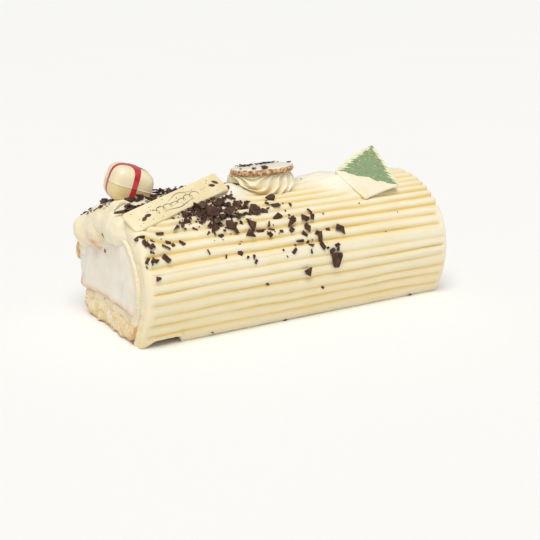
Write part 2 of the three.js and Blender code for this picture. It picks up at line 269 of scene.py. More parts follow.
def whipped_buttercream():
    """Butter and sugar whipped with egg and combed cold: pale cream with painted golden shade in the
    grooves, creases and low parts, whiter where a spatula has spread it in a smear and as a painted
    highlight on the rosette's ridges, with a soft fatty gloss, fine drag lines and air pits."""
    material, tree, place = blank("whipped_buttercream")
    body = clouded(tree, place, 22, "f5edd5", "f2e7c6", high=0.68)
    # A golden colour laid over the grooves, creases and low parts as painted shade.
    golden = laid_over(tree, body, "efd07a", "painted_golden_shade")
    # Whiter on smears, and on the rosette's ridges as a painted highlight.
    whitened = laid_over(tree, golden, "f6efdc", "smear_and_highlight")
    colour = laid_over(tree, whitened, "d8ab86", "stained")
    along = add(tree, "Mapping", {"Vector": place, "Scale": (0.06, 1.0, 1.0)})
    drag = add(tree, "TexNoise", {"Vector": along, "Scale": per_mm(1.1), "Detail": 2.0})
    pits = add(tree, "TexNoise", {"Vector": place, "Scale": per_mm(0.9), "Detail": 2.0})
    both = add(tree, "Math", {0: drag, 1: 0.5, 2: pits}, operation="MULTIPLY_ADD")
    relief = add(tree, "Bump", {"Height": both, "Strength": 0.35, "Distance": 0.25 * MM})
    finish(tree, 0.3, 2.5, {"Base Color": colour, "Roughness": 0.45, "IOR": 1.46, "Normal": relief})
    return material


def white_mousse():
    """The white cream rolled up inside, cut and wiped with a palette knife: matt, nearly white, with
    faint grey drag marks from the blade and a little sponge smeared into its edge."""
    material, tree, place = blank("white_mousse")
    body = clouded(tree, place, 15, "f5efe2", "efe6d4", high=0.7, detail=4.0)
    leaning = add(tree, "Mapping", {"Vector": place, "Rotation": (-0.5, 0.0, 0.0)})
    stretched = add(tree, "Mapping", {"Vector": leaning, "Scale": (1.0, 1.0, 0.2)})
    drag = add(tree, "TexNoise", {
        "Vector": stretched, "Scale": per_mm(7), "Detail": 3.0, "Distortion": 0.4,
    })
    streak = add(tree, "MapRange", {"Value": drag, "From Min": 0.58, "From Max": 0.78, "To Max": 0.35})
    streaked = add(tree, "Mix", {SHARE: streak, FIRST: body, SECOND: "d9cfc6"}, **COLOUR)
    colour = laid_over(tree, streaked, "e0b274", "stained")
    relief = add(tree, "Bump", {"Height": drag, "Strength": 0.5, "Distance": 0.6 * MM})
    finish(tree, 0.3, 2.5, {"Base Color": colour, "Roughness": 0.5, "IOR": 1.45, "Normal": relief})
    return material


def baked_sponge():
    """Whisked egg sponge, cut across: open pale crumb with its pores painted tan as shade, a browner skin,
    patches soaked darker and cream wiped over it by the knife, dry and quite matt."""
    material, tree, place = blank("baked_sponge")
    crumb = add(tree, "TexNoise", {"Vector": place, "Scale": per_mm(2.2), "Detail": 5.0, "Roughness": 0.7})
    mottle = add(tree, "MapRange", {"Value": crumb, "From Min": 0.35, "From Max": 0.65})
    body = add(tree, "Mix", {SHARE: mottle, FIRST: "ebce98", SECOND: "faecc4"}, **COLOUR)
    # Painted shade in the pores: darker towards each pore's middle.
    pores = add(tree, "TexVoronoi", {"Vector": place, "Scale": per_mm(1.3)})
    pore_shade = add(tree, "MapRange", {
        "Value": pores, "From Min": 0.05, "From Max": 0.3, "To Min": 0.55, "To Max": 0.0,
    })
    pore_shaded = add(tree, "Mix", {SHARE: pore_shade, FIRST: body, SECOND: "d2a96f"}, **COLOUR)
    swirl = add(tree, "TexNoise", {"Vector": place, "Scale": per_mm(8), "Detail": 2.0, "Distortion": 1.5})
    soaked = add(tree, "MapRange", {"Value": swirl, "From Min": 0.52, "From Max": 0.7, "To Max": 0.6})
    tinted = add(tree, "Mix", {SHARE: soaked, FIRST: pore_shaded, SECOND: "dbae7c"}, **COLOUR)
    browned = laid_over(tree, tinted, "d6a468", "skin")
    colour = laid_over(tree, browned, "f5ead0", "creamed")
    both = add(tree, "Math", {0: crumb, 1: pores}, operation="ADD")
    relief = add(tree, "Bump", {"Height": both, "Strength": 0.8, "Distance": 0.6 * MM})
    finish(tree, 0.15, 1.5, {"Base Color": colour, "Roughness": 0.92, "IOR": 1.4, "Normal": relief})
    return material


def white_chocolate(name, light, deep, roughness=0.36):
    """Tempered white chocolate, moulded or cut from a poured sheet: ivory with a soft satin sheen from
    cocoa butter, painted darker and yellower as shade where a value kept with each point says so."""
    material, tree, place = blank(name)
    body = clouded(tree, place, 14, light, deep)
    # Painted shade: a darker yellow laid over as strongly as the kept value named thick.
    colour = laid_over(tree, body, "e4ca86", "thick")
    grain = add(tree, "TexNoise", {"Vector": place, "Scale": per_mm(1.6), "Detail": 2.0})
    relief = add(tree, "Bump", {"Height": grain, "Strength": 0.12, "Distance": 0.2 * MM})
    finish(tree, 0.2, 1.5, {"Base Color": colour, "Roughness": roughness, "IOR": 1.46, "Normal": relief})
    return material


def dark_chocolate():
    """Dark chocolate scraped from a block: broken faces with a dull violet-grey bloom, near-black edges
    and a waxy gloss."""
    material, tree, place = blank("dark_chocolate")
    colour = clouded(tree, place, 3, "43281d", "5f4237", 0.4, 0.7, detail=4.0)
    grain = add(tree, "TexNoise", {"Vector": place, "Scale": per_mm(0.8), "Detail": 3.0})
    relief = add(tree, "Bump", {"Height": grain, "Strength": 0.5, "Distance": 0.3 * MM})
    finish(tree, 0.0, 1.0, {
        "Base Color": colour, "Roughness": 0.5, "IOR": 1.45, "Specular IOR Level": 0.35, "Normal": relief,
    })
    return material


def cocoa_butter_print(name, light, deep, size, roughness=0.4):
    """A transfer printed in coloured cocoa butter: a thin even film, slightly mottled where it was
    pressed on. The size is that of its blotches."""
    material, tree, place = blank(name)
    colour = clouded(tree, place, size, light, deep, 0.38, 0.64)
    finish(tree, 0.0, 1.0, {"Base Color": colour, "Roughness": roughness, "IOR": 1.46})
    return material


def toasted_crumb():
    """Crushed toasted biscuit pressed into the disc's edge: brown grains mottled from caramel to tan, with
    painted dark brown shade in the gaps between them, matt."""
    material, tree, place = blank("toasted_crumb")
    crust = clouded(tree, place, 1.9, "9c6440", "f2cfa0", 0.4, 0.6)
    # Painted shade: dark brown where the kept grain value is low, in the gaps between grains.
    colour = laid_over(tree, "70401f", crust, "grain")
    finish(tree, 0.0, 1.0, {"Base Color": colour, "Roughness": 0.8})
    return material


def painted_floor():
    """Matt white paint on a smooth board, with the faint unevenness that a roller leaves."""
    material, tree, place = blank("painted_floor")
    roller = add(tree, "TexNoise", {"Vector": place, "Scale": per_mm(300)})
    colour = add(tree, "Mix", {SHARE: roller, FIRST: "f7f7f6", SECOND: "f9f9f8"}, **COLOUR)
    finish(tree, 0.0, 1.0, {"Base Color": colour, "Roughness": 0.9})
    return material


# ---------------------------------------------------------------- the combed coat

# Grooves of the two comb strokes on the front, the same mirrored on the back: the turn round the section,
# and the depth.
GROOVES = np.array([
    -26.0, -18.0, -12.0, -4.2, 3.1, 10.4, 22.2, 30.6, 38.8, 46.9, 54.0, 60.3, 66.6, 74.0, 83.0,
])
GROOVE_DEPTH = np.array([1.2, 1.3, 1.4, 1.5, 1.5, 1.1, 2.0, 2.1, 2.1, 2.1, 2.0, 1.9, 1.9, 1.8, 1.4])
# Half a ridge's greatest width, and how wide a groove's floor is rounded.
RIDGE_HALF = 4.2
VALLEY_ROUND = 0.35
# The coat's surface runs on this far for each degree round the section.
PER_DEGREE = 0.93
# Cream pushed up by the spatula: place along, angle, reach along, reach round and height.
SMEARS = [
    (46, 90, 17, 14, 5.0), (63, 73, 12, 12, 5.0), (-34, 84, 9, 11, 5.5), (-100, 95, 14, 16, 2.5),
    (49, 74, 9, 7, 4.6),
]
# The radius of the coat's rim at each end, and how far its left edge stands out at the front's foot.
RIM = {"left": 5.0, "right": 2.6}
LIP = 2.6
# The piece broken out of the front's foot: where it starts and stops along the log, and its height.
NOTCH = {"from": -113.5, "to": -92.0, "height": 4.5}
# Rows of the coat's grid, and how many of them the inner skin has one row for.
COAT_ROWS, COARSE = 401, 16


def smear_height(x, angle):
    """Hills of smeared cream: each falls off from its own place along and round the log as a bell does."""
    total = np.zeros(np.broadcast(x, angle).shape)
    for at, turn, reach_x, reach_turn, height in SMEARS:
        total += height * np.exp(-(((x - at) / reach_x) ** 2) - ((angle - turn) / reach_turn) ** 2)
    return total


def still_combed(smear):
    """How much of the comb's work shows through a smear of this height: all at 0, none from 1.6 mm."""
    return 1.0 - np.clip(smear / 1.6, 0.0, 1.0)


def comb_depth(x, angle):
    """How deep the comb has cut, in millimetres. Between two grooves a ridge is part ellipse and part
    parabola. The grooves wander, fade at both ends and hook upwards at the plaque's near end."""
    front = angle <= 90.0
    side = np.where(front, angle, 180.0 - angle)
    seed_row = np.where(front, 0.0, 40.0)
    wander = noise(x / 60.0, side / 25.0, seed_row, 3) + 0.4 * noise(x / 17.0, side / 9.0, seed_row, 4)
    hook = 9.0 * smooth(-x, 90.0, 118.0) ** 1.5 * smooth(side, 30.0, 44.0) * front
    row = side - wander - hook
    upper = np.clip(np.searchsorted(GROOVES, row), 1, len(GROOVES) - 1)
    below, above = row - GROOVES[upper - 1], GROOVES[upper] - row
    nearest = np.where(np.abs(below) < np.abs(above), upper - 1, upper)
    away = np.minimum(np.abs(below), np.abs(above)) * PER_DEGREE
    half = np.minimum((GROOVES[upper] - GROOVES[upper - 1]) / 2.0 * PER_DEGREE, RIDGE_HALF)
    away = np.sqrt(away**2 + VALLEY_ROUND**2) - VALLEY_ROUND
    arc = 1.0 - np.clip(away / half, 0.0, 1.0)
    valley = 0.65 * (1.0 - np.sqrt(np.clip(1.0 - arc**2, 0.0, 1.0))) + 0.35 * arc**2
    uneven = 1.0 + 0.35 * noise(x / 35.0, nearest * 3.7, seed_row, 5)
    # The comb goes in at a ragged line on the left and comes out at another on the right, past the rim
    # high up.
    start = LEFT + 3.0 + 2.0 * noise(nearest * 1.7, seed_row, 0.5, 6)
    stop = RIGHT - 2.5 - 2.5 * lattice(nearest, np.zeros_like(nearest), np.zeros_like(nearest), 7)
    stop = stop + 6.0 * smooth(side, 28.0, 46.0)
    ends = smooth(x, start - 1.5, start + 3.0) * (1.0 - smooth(x, stop - 2.0, stop + 2.0))
    # A faint scratch marks the smooth band between the two strokes, on its left half.
    scratch = 0.35 * np.exp(-(((row - 17.0) / 0.8) ** 2))
    scratch = scratch * (1.0 - smooth(x, -30.0, 5.0)) * smooth(x, start, start + 4.0)
    over_top = 1.0 - smooth(np.abs(angle - 90.0), 0.0, 7.0)
    return (GROOVE_DEPTH[nearest] * uneven * valley * ends + scratch) * (1.0 - over_top)


def coat_height(x, angle):
    """How far the coat stands out from its plain oval: hills of smeared cream, less the comb's grooves
    where nothing has been smeared over them, with the slow unevenness of a hand-spread coat and fine drag
    lines along the log."""
    smear = smear_height(x, angle)
    combed = still_combed(smear)
    slow = 0.45 * noise(x / 38.0, angle / 24.0, 0.2, 11) + 0.18 * noise(x / 13.0, angle / 9.0, 0.7, 12)
    drag = 0.09 * noise(x / 24.0, angle / 1.4, 0.4, 13)
    lumps = 0.9 * noise(x / 10.0, angle / 8.0, 0.1, 14) + 0.5 * noise(x / 5.0, angle / 2.2, 0.3, 15)
    worked = (1.0 - combed) * lumps
    left = smooth(-x, 100.0, 114.0) * 0.5 * noise(x / 6.0, angle / 7.0, 0.9, 16)
    return smear - combed * comb_depth(x, angle) + slow + drag + worked + left


def foot_lift(x, side):
    """How high the coat's lower edge hangs above the board, on side 0, the front, or 1: a ragged hair's
    breadth, and in front the broken-out notch."""
    ragged = 0.35 + 0.35 * noise(x / 4.0, side, 0.3, 21) + 0.25 * noise(x / 1.6, side, 0.6, 22)
    into = smooth(x, NOTCH["from"] - 1.5, NOTCH["from"] + 4.0)
    out_of = smooth(x, NOTCH["to"] - 0.6, NOTCH["to"] + 0.6)
    notch = NOTCH["height"] * (into * (1.0 - out_of)) if side == 0 else 0.0
    return np.clip(ragged, 0.0, None) + notch


def end_path(radius, rings, steps):
    """One end of the coat's path: straight across the end face, then a quarter circle round the rim. It
    gives the share of the way across the face, the distance in from the end and the distance in from the
    side."""
    turn = np.linspace(0.0, math.pi / 2, steps)[1:]
    share = np.concatenate([np.linspace(0.0, 1.0, rings), np.ones(len(turn))])
    from_end = np.concatenate([np.zeros(rings), radius * (1.0 - np.cos(turn))])
    from_side = np.concatenate([np.full(rings, radius), radius * (1.0 - np.sin(turn))])
    return share, from_end, from_side


def coat_path():
    """The columns of the coat's grid: across the left end's face from the sponge, round its rim, along
    the log, round the right rim and across that face. It gives each one's place along the log, its share
    of the way out to the rim and its inset from the side, and the first and last columns that the inner
    skin has too."""
    left_share, left_in, left_side = end_path(RIM["left"], 12, 9)
    right_share, right_in, right_side = (part[::-1] for part in end_path(RIM["right"], 12, 7))
    # The comb's ends get closer columns than the even stretch between them.
    body = np.concatenate([
        np.linspace(LEFT + RIM["left"], LEFT + 28.0, 26)[1:],
        np.linspace(LEFT + 28.0, RIGHT - 11.0, 130)[1:],
        np.linspace(RIGHT - 11.0, RIGHT - RIM["right"], 10)[1:-1],
    ])
    x = np.concatenate([LEFT + left_in, body, RIGHT - right_in])
    share = np.concatenate([left_share, np.ones(len(body)), right_share])
    inset = np.concatenate([left_side, np.zeros(len(body)), right_side])
    return x, share, inset, len(left_in) - 1, len(left_in) + len(body)


def coat_angles(x, inset, across):
    """The turns of the coat's grid: even from foot to foot, but for the rows near a foot, which move to
    follow its ragged edge."""
    front, back = (
        np.degrees(np.arcsin((CENTRE_Z - foot_lift(x, side)) / (COAT[2] - inset))) for side in (0, 1)
    )
    angle = -FOOT_DIP * (1.0 - across) + (180.0 + FOOT_DIP) * across
    angle = angle + (FOOT_DIP - front) * (1.0 - smooth(across, 0.0, 0.09))
    return angle - (FOOT_DIP - back) * smooth(across, 0.91, 1.0)


def shell_faces(columns, first, last):
    """The faces of the coat's shell: the outer skin's grid, the coarser inner skin's turned over, and the
    strips that join them across the two end faces and along the two feet."""
    outer = np.arange(COAT_ROWS * columns).reshape(COAT_ROWS, columns)
    inner_rows, inner_columns = len(outer[::COARSE]), last - first + 1
    inner = np.arange(inner_rows * inner_columns).reshape(inner_rows, inner_columns) + outer.size
    faces = grid(COAT_ROWS, columns)
    faces += [[face[k] + outer.size for k in (3, 2, 1, 0)] for face in grid(inner_rows, inner_columns)]
    for k in range(inner_rows - 1):
        run = slice(k * COARSE, (k + 1) * COARSE + 1)
        faces.append([*outer[run, 0], inner[k + 1, 0], inner[k, 0]])
        faces.append([*outer[run, -1][::-1], inner[k, -1], inner[k + 1, -1]])
    for row, forward in ((0, False), (-1, True)):
        above, below = outer[row, first : last + 1], inner[row]
        feet = [[above[i], above[i + 1], below[i + 1], below[i]] for i in range(inner_columns - 1)]
        feet.append([*outer[row, : first + 1], below[0]])
        feet.append([*outer[row, last:], below[-1]])
        faces += feet if forward else [foot[::-1] for foot in feet]
    return faces


def coat_colours(x, angle, z, share, rough):
    """What the outer skin keeps for its material: painted golden shade, by how deep in a groove a point
    lies, and how much it is smeared. Low down the coat gets a little more painted golden shade and
    reflection, and the wiped rim of the left end gets painted golden shade, patchy and stronger low down."""
    smear = smear_height(x, angle)
    groove = np.clip(comb_depth(x, angle) / GROOVE_DEPTH.max(), 0.0, 1.0)
    # Painted golden reflection and shade, stronger towards the bottom.
    low = 0.2 * (1.0 - smooth(z, 4.0, 42.0))
    painted_golden_shade = (0.95 * groove**0.9 * still_combed(smear) + low) * share
    # The left end's rim: painted golden shade, patchy and stronger low down.
    golden = 0.16 + 0.2 * (1.0 - smooth(z, 4.0, 30.0)) + 0.12 * rough
    painted_golden_shade = np.maximum(painted_golden_shade, golden * smooth(-x, 109.0, 116.0))
    return painted_golden_shade, np.clip(smear / 2.5, 0.0, 1.0) * share


def make_coat(material):
    """A shell whose outer skin is a grid: angle round the log by the path from end face to end face. The
    end faces are rough, the comb's ridges run out past the right rim, and low at the front of the left
    end the coat stands out past the sponge in a lip, where its rim is tighter."""
    x, share, inset, first, last = coat_path()
    across = np.linspace(0.0, 1.0, COAT_ROWS)[:, None]
    angle = coat_angles(x, inset, across)
    lip = (1.0 - smooth(across, 0.02, 0.13)) * smooth(-x, -LEFT - 9.0, -LEFT - 1.0)
    grow = coat_height(x, angle) - inset * (1.0 - 0.7 * lip)
    outer = np.stack([x + 0.0 * angle, *oval_point(COAT, angle, grow)], axis=-1)
    sponge_edge = np.stack([x + 0.0 * angle, *oval_point(ROLL, angle, SKIN_GAP)], axis=-1)
    outer = sponge_edge + (outer - sponge_edge) * share[:, None]
    face = np.clip((RIM["left"] + 4.0 - np.abs(np.abs(x) - RIGHT) * 3.0) / 9.0, 0.0, 1.0) * (share < 1.0)
    rough = 0.9 * noise(outer[..., 1] / 9.0, outer[..., 2] / 9.0, x * 0.1, 31)
    rough += 0.4 * noise(outer[..., 1] / 3.0, outer[..., 2] / 3.0, x * 0.1, 32)
    outer[..., 0] += face * rough - LIP * lip
    outer[..., 0] += (0.7 - 0.5 * comb_depth(x, angle)) * smooth(x, RIGHT - 7.0, RIGHT - 1.0) * share
    outer[..., 2] = np.maximum(outer[..., 2], 0.0)
    inner = sponge_edge[::COARSE, first : last + 1].copy()
    inner[..., 2] = np.maximum(inner[..., 2], 0.0)
    points = np.concatenate([outer.reshape(-1, 3), inner.reshape(-1, 3)])
    # The outer skin keeps painted golden shade and the smear share; the inner skin keeps none.
    painted_golden_shade, smear_and_highlight = coat_colours(x, angle, outer[..., 2], share, rough)
    spare = np.zeros(inner[..., 0].size)
    values = {"painted_golden_shade": np.append(painted_golden_shade.ravel(), spare), "smear_and_highlight": np.append(smear_and_highlight.ravel(), spare)}
    faces = shell_faces(len(x), first, last)
    return add_piece("combed_coat", points, faces, material, ("buttercream_coat",), values)


def loft_faces(rows, columns):
    """Faces over closed rings of points laid end to end, with a middle point after them for each of the
    two ends."""
    start, stop = rows * columns, rows * columns + 1
    rings = [list(range(columns)), list(range((rows - 1) * columns, rows * columns))]
    return grid(rows, columns, wrap_columns=True) + fan(rings[0][::-1], start) + fan(rings[1], stop)


def closed_loft(name, rings, material, stands_for=(), values=None):
    """A piece over closed rings of points, shaped (rings, points, 3), with a middle point closing each
    end."""
    rows, columns = rings.shape[:2]
    middles = np.stack([rings[0].mean(axis=0), rings[-1].mean(axis=0)])
    points = np.concatenate([rings.reshape(-1, 3), middles])
    kept = {}
    for key, numbers in (values or {}).items():
        kept[key] = np.concatenate([numbers.ravel(), [numbers[0].mean(), numbers[-1].mean()]])
    return add_piece(name, points, loft_faces(rows, columns), material, stands_for, kept)


# Billows of cream folded over the left end: the middle of each ball and its radius.
BILLOWS = [
    (-115.5, 38.5, 58.5, 12.4), (-116.6, 17.0, 62.0, 10.8), (-114.0, -4.0, 68.0, 10.5),
    (-112.0, 30.0, 68.0, 9.6), (-111.5, 8.0, 73.0, 9.5), (-112.0, -20.0, 67.0, 8.0),
    (-110.0, 45.0, 63.0, 8.0), (-113.5, 49.0, 47.0, 7.0),
]

# The billows run round the left end between these angles, from a path this far inside the coat.
BILLOWS_FROM, BILLOWS_TO, BILLOWS_INSIDE = 50.0, 176.0, 13.0


def smudge(y, z):
    """How much brown-pink has been dragged over the left end where the billows meet the white core."""
    middle_y, middle_z, reach_y, reach_z = 12.0, 55.0, 12.0, 6.0
    aside = y - middle_y
    near = np.exp(-((aside / reach_y) ** 2) - ((z - middle_z - 0.15 * aside) / reach_z) ** 2)
    return near * np.clip(0.65 + noise(y / 4.5, z / 2.5, 0.5, 45), 0.0, 1.0)


def make_folded_cream(material):
    """Cream folded over the top of the left end. Seen from a path that runs round the end inside the
    cream, the surface lies at the farthest of the balls, with the creases between them filled a little:
    it is the root of the summed high powers of the distances. Smaller lumps and spatula marks ride on
    it."""
    rows, columns, power = 240, 180, 12.0
    angle = np.linspace(BILLOWS_FROM, BILLOWS_TO, rows)[:, None]
    turn = np.linspace(0.0, 2.0 * math.pi, columns, endpoint=False)[None, :]
    started = smooth(angle, BILLOWS_FROM, BILLOWS_FROM + 16.0)
    full = started * (1.0 - smooth(angle, BILLOWS_TO - 12.0, BILLOWS_TO))
    middle = np.stack([LEFT + 4.0 + 0 * angle, *oval_point(COAT, angle, -BILLOWS_INSIDE)], axis=-1)
    outward = oval_normal(COAT, angle)
    heading = np.cos(turn)[..., None] * np.array([-1.0, 0.0, 0.0]) + np.sin(turn)[..., None] * outward
    total = (2.0 + 9.0 * full) ** power + 0.0 * turn
    for *ball, radius in BILLOWS:
        gap = np.array(ball) - middle
        along = (heading * gap).sum(axis=-1)
        inside = along**2 - (gap**2).sum(axis=-1) + radius**2
        to_ball = np.where(inside > 0.0, along + np.sqrt(np.maximum(inside, 0.0)), 0.0)
        total = total + to_ball.clip(0.0) ** power
    reach = total ** (1.0 / power)
    x, y, z = np.moveaxis(middle + heading * reach[..., None], -1, 0)
    lumps = 1.1 * noise(x / 8.0, y / 8.0, z / 8.0, 41) + 0.45 * noise(x / 3.4, y / 3.4, z / 3.4, 44)
    reach = reach + full * lumps + full * 0.8 * (domes(x / 6.0, y / 6.0, z / 6.0, 43) - 0.6)
    points = middle + heading * reach[..., None]
    x, y, z = np.moveaxis(points, -1, 0)
    stained = smudge(y, z) * smooth(-x, 112.0, 116.0)
    # Painted golden shade in the creases between the lumps, faint all over.
    painted_golden_shade = 0.04 + 0.22 * np.clip(-noise(x / 8.0, y / 8.0, z / 8.0, 41), 0.0, 1.0)
    values = {"stained": stained, "painted_golden_shade": painted_golden_shade, "smear_and_highlight": 0.0 * painted_golden_shade}
    return closed_loft("folded_cream", points, material, values=values)


def make_curl(material):
    """A soft lip of cream curled up at the foot of the bonbon: a round tube along an arc, tapered at both
    ends."""
    run = np.linspace(0.0, 1.0, 40)[:, None]
    arch = np.sin(math.pi * run)
    y, z = oval_point(COAT, 80.0 + 5.0 * arch, 2.4 * arch - 1.0)
    spine = np.stack([-119.0 + 15.0 * run, y, z], axis=-1)
    turn = np.linspace(0.0, 2.0 * math.pi, 20, endpoint=False)[None, :]
    radius = (0.4 + 1.5 * arch**0.7) * (1.0 + 0.12 * noise(run * 5.0, np.cos(turn), np.sin(turn), 47))
    outward = oval_normal(COAT, 82.0 + 0 * run)
    aside = np.array([0.35, -0.94, 0.0])
    heading = np.cos(turn)[..., None] * aside + np.sin(turn)[..., None] * outward
    points = spine + radius[..., None] * heading
    plain = 0.0 * radius
    # A faint even share of painted golden shade.
    values = {"painted_golden_shade": plain + 0.05, "smear_and_highlight": plain, "stained": plain}
    closed_loft("cream_curl", points, material, values=values)


# ---------------------------------------------------------------- the cut ends


def outline(oval, floor, turn):
    """How far an oval with a flat floor reaches from its centre: the oval's reach or the floor's,
    whichever is nearer, with the corner between them softened. The turn runs from the back over the top
    to the front."""
    half, rise, fall = oval
    vertical = np.where(np.sin(turn) > 0.0, rise, fall)
    to_oval = 1.0 / np.sqrt((np.cos(turn) / half) ** 2 + (np.sin(turn) / vertical) ** 2)
    to_floor = (CENTRE_Z - floor) / np.maximum(-np.sin(turn), 0.05)
    return (to_oval**-14.0 + to_floor**-14.0) ** (-1.0 / 14.0)


def in_section(x, reach, turn):
    """Points at a place along the log, at a distance and a turn from the section's centre."""
    x, reach, turn = np.broadcast_arrays(x, reach, turn)
    return np.stack([x, reach * np.cos(turn), CENTRE_Z + reach * np.sin(turn)], axis=-1)


def core_end(side, seed, inner, turn, share):
    """One end of the core, side -1 for the left one: a low pillow whose height falls off as a high power
    of the share of the way out. The left one is fuller at the back, where the knife has smeared it past
    the sponge, and the blade has left shallow scoops on both."""
    to_back = smooth(np.cos(turn), 0.55, 0.95) * (1.0 - smooth(np.abs(np.sin(turn)), 0.3, 0.55)) * share**2
    wiped = to_back if side < 0.0 else 0.0
    ragged = 1.2 * noise(3.0 * np.cos(turn), 3.0 * np.sin(turn), 0.5, seed)
    ragged = ragged + 0.7 * noise(11.0 * np.cos(turn), 11.0 * np.sin(turn), 0.5, seed + 1)
    end = in_section(0.0 * share, (inner + 9.0 * wiped + ragged) * share, turn)
    y, z = end[..., 1], end[..., 2]
    height = 0.5 + 2.4 * (1.0 - share**9) + 3.4 * wiped + 1.5 * smooth(-z, -27.0, -19.0)
    height += 0.9 * noise(y / 16.0, z / 22.0, 0.5, seed + 2)
    height += 0.35 * noise(y / 4.0, z / 11.0, 0.5, seed + 3)
    end[..., 0] = side * (RIGHT + height)
    return end


def make_core(material):
    """The white core, right through the log: rings of points across one end, along the outside and across
    the other. It is stained where it meets the sponge low down, and at the left end where brown-pink is
    dragged over it."""
    turn = np.linspace(0.0, 2.0 * math.pi, 260, endpoint=False)[None, :]
    share = np.linspace(0.02, 1.0, 40)[:, None]
    inner = outline(CREAM, CREAM_FLOOR, turn) + SKIN_GAP
    left, right = core_end(-1.0, 51, inner, turn, share), core_end(1.0, 61, inner, turn, share)
    tube = in_section(np.array([[LEFT + 4.0], [0.5 * (LEFT + RIGHT)], [RIGHT - 4.0]]), inner, turn)
    points = np.concatenate([left, tube, right[::-1]])
    across = share + 0.0 * turn
    edge = np.concatenate([across, np.zeros(tube.shape[:2]), across[::-1]])
    x, y, z = np.moveaxis(points, -1, 0)
    low = smooth(-z, -30.0, -17.0) * smooth(edge, 0.55, 1.0)
    patches = np.clip(0.75 + 0.7 * noise(y / 5.0, z / 5.0, 0.5, 57), 0.0, 1.0)
    values = {"stained": np.maximum(low * patches, smudge(y, z) * edge * (x < 0.0))}
    return closed_loft("core_cream", points, material, ("cream_filling",), values)


def sponge_end(side, seed, inner, outer, turn, share):
    """One cut face of the sponge, side -1 for the left one: pitted like open crumb, less so higher up,
    and torn out at the bottom. The left one bulges at its lower back."""
    bitten = (0.5 + noise(30.0 * np.cos(turn), 9.0 * turn, 0.5, seed + 3)).clip(0.0)
    torn = 2.2 * smooth(-np.sin(turn), 0.5, 0.8) * bitten
    end = in_section(0.0 * share, inner + (outer - torn - inner) * share, turn)
    y, z = end[..., 1], end[..., 2]
    open_crumb = 1.0 - 0.75 * smooth(z, 11.0, 19.0)
    pitted = 1.9 * noise(y / 6.0, z / 6.0, 0.5, seed) + 0.6 * noise(y / 1.2, z / 1.2, 0.5, seed + 2)
    pitted += 2.0 * (domes(y / 3.2, z / 3.2, 0.5, seed + 1) - 0.6)
    height = 2.0 + 1.6 * smooth(-z, -18.0, -6.0) + open_crumb * pitted
    height += 2.6 * smooth(y, 18.0, 40.0) * (1.0 - smooth(z, 14.0, 24.0)) if side < 0.0 else 0.0
    end[..., 0] = side * (RIGHT + height - 0.6 * smooth(share, 0.9, 1.0))
    return end


def make_sponge(material):
    """The ring of sponge, right through the log: a profile across the left end, along the outside, across
    the right end and back inside, carried round the section."""
    turn = np.linspace(0.0, 2.0 * math.pi, 460, endpoint=False)[None, :]
    share = np.linspace(0.0, 1.0, 22)[:, None]
    inner, outer = outline(CREAM, CREAM_FLOOR, turn), outline(ROLL, 0.0, turn)
    left = sponge_end(-1.0, 71, inner, outer, turn, share)
    right = sponge_end(1.0, 81, inner, outer, turn, share)
    near_ends = np.array([[LEFT + 3.0], [RIGHT - 3.0]])
    outside, inside = in_section(near_ends, outer, turn), in_section(near_ends[::-1], inner, turn)
    points = np.concatenate([left, outside, right[::-1], inside])
    points[..., 2] = np.maximum(points[..., 2], 0.0)
    across, plain = share + 0.0 * turn, 0.0 * outside[..., 0]
    shares = np.concatenate([across, plain + 1.0, across[::-1], plain])
    y, z = points[..., 1], points[..., 2]
    creamed = smooth(z, 12.0, 18.0) * (0.85 + 0.15 * noise(y / 3.0, z / 6.0, 0.5, 77))
    # A band of cream spirals through the crumb from the back edge to the middle of the bottom.
    spiral = np.exp(-(((z - 8.0 - 3.0 * np.sin(y / 8.0) - 0.12 * y) / 2.2) ** 2)) * smooth(y, -30.0, -12.0)
    creamed = np.maximum(creamed, spiral * (0.7 + 0.7 * noise(y / 3.0, z / 2.5, 0.5, 78)).clip(0.0, 1.0))
    skin = smooth(np.abs(shares - 0.5), 0.36, 0.5) * 0.6 * (1.0 - smooth(z, 12.0, 20.0))
    faces = grid(*shares.shape, wrap_rows=True, wrap_columns=True)
    add_piece(
        "rolled_sponge", points.reshape(-1, 3), faces, material, ("sponge_roll",),
        {"skin": skin, "creamed": creamed},
    )


def make_scrap(material):
    """A torn scrap of brown-skinned sponge that hangs from the left end's back edge: a ball squeezed thin
    and pitted."""
    middle, radii = np.array([-119.6, 53.6, 41.0]), np.array([2.6, 2.6, 7.5])
    level = np.linspace(0.03, 0.97, 40)[:, None] * math.pi
    turn = np.linspace(0.0, 2.0 * math.pi, 60, endpoint=False)[None, :]
    ring = np.sin(level)
    ball = np.stack([ring * np.cos(turn), ring * np.sin(turn), np.cos(level) + 0 * turn], axis=-1)
    x, y, z = np.moveaxis(ball * 3.0, -1, 0)
    reach = 1.0 + 0.35 * noise(x / 2.0, y / 2.0, z / 2.0, 65) + 0.2 * (domes(x, y, z, 66) - 0.5)
    skin = 0.55 + 0.45 * noise(x, y, z, 67)
    points = middle + ball * reach[..., None] * radii
    closed_loft("torn_scrap", points, material, values={"skin": skin, "creamed": 0.0 * skin})


# ---------------------------------------------------------------- toppings


def axes_of(*turns):
    """Three unit axes, as rows, after turns about X, Y and Z in degrees, the Z turn first."""
    matrix = Matrix.Identity(3)
    for turn, axis in zip(turns, "XYZ"):
        matrix = matrix @ Matrix.Rotation(math.radians(turn), 3, axis)
    return np.array(matrix).T


def axes_along(along, across):
    """Three unit axes, as rows: along, then across made square to it, then the way that the two face."""
    along = np.array(along) / np.linalg.norm(along)
    facing = np.cross(along, across)
    facing /= np.linalg.norm(facing)
    return np.stack([along, np.cross(facing, along), facing])


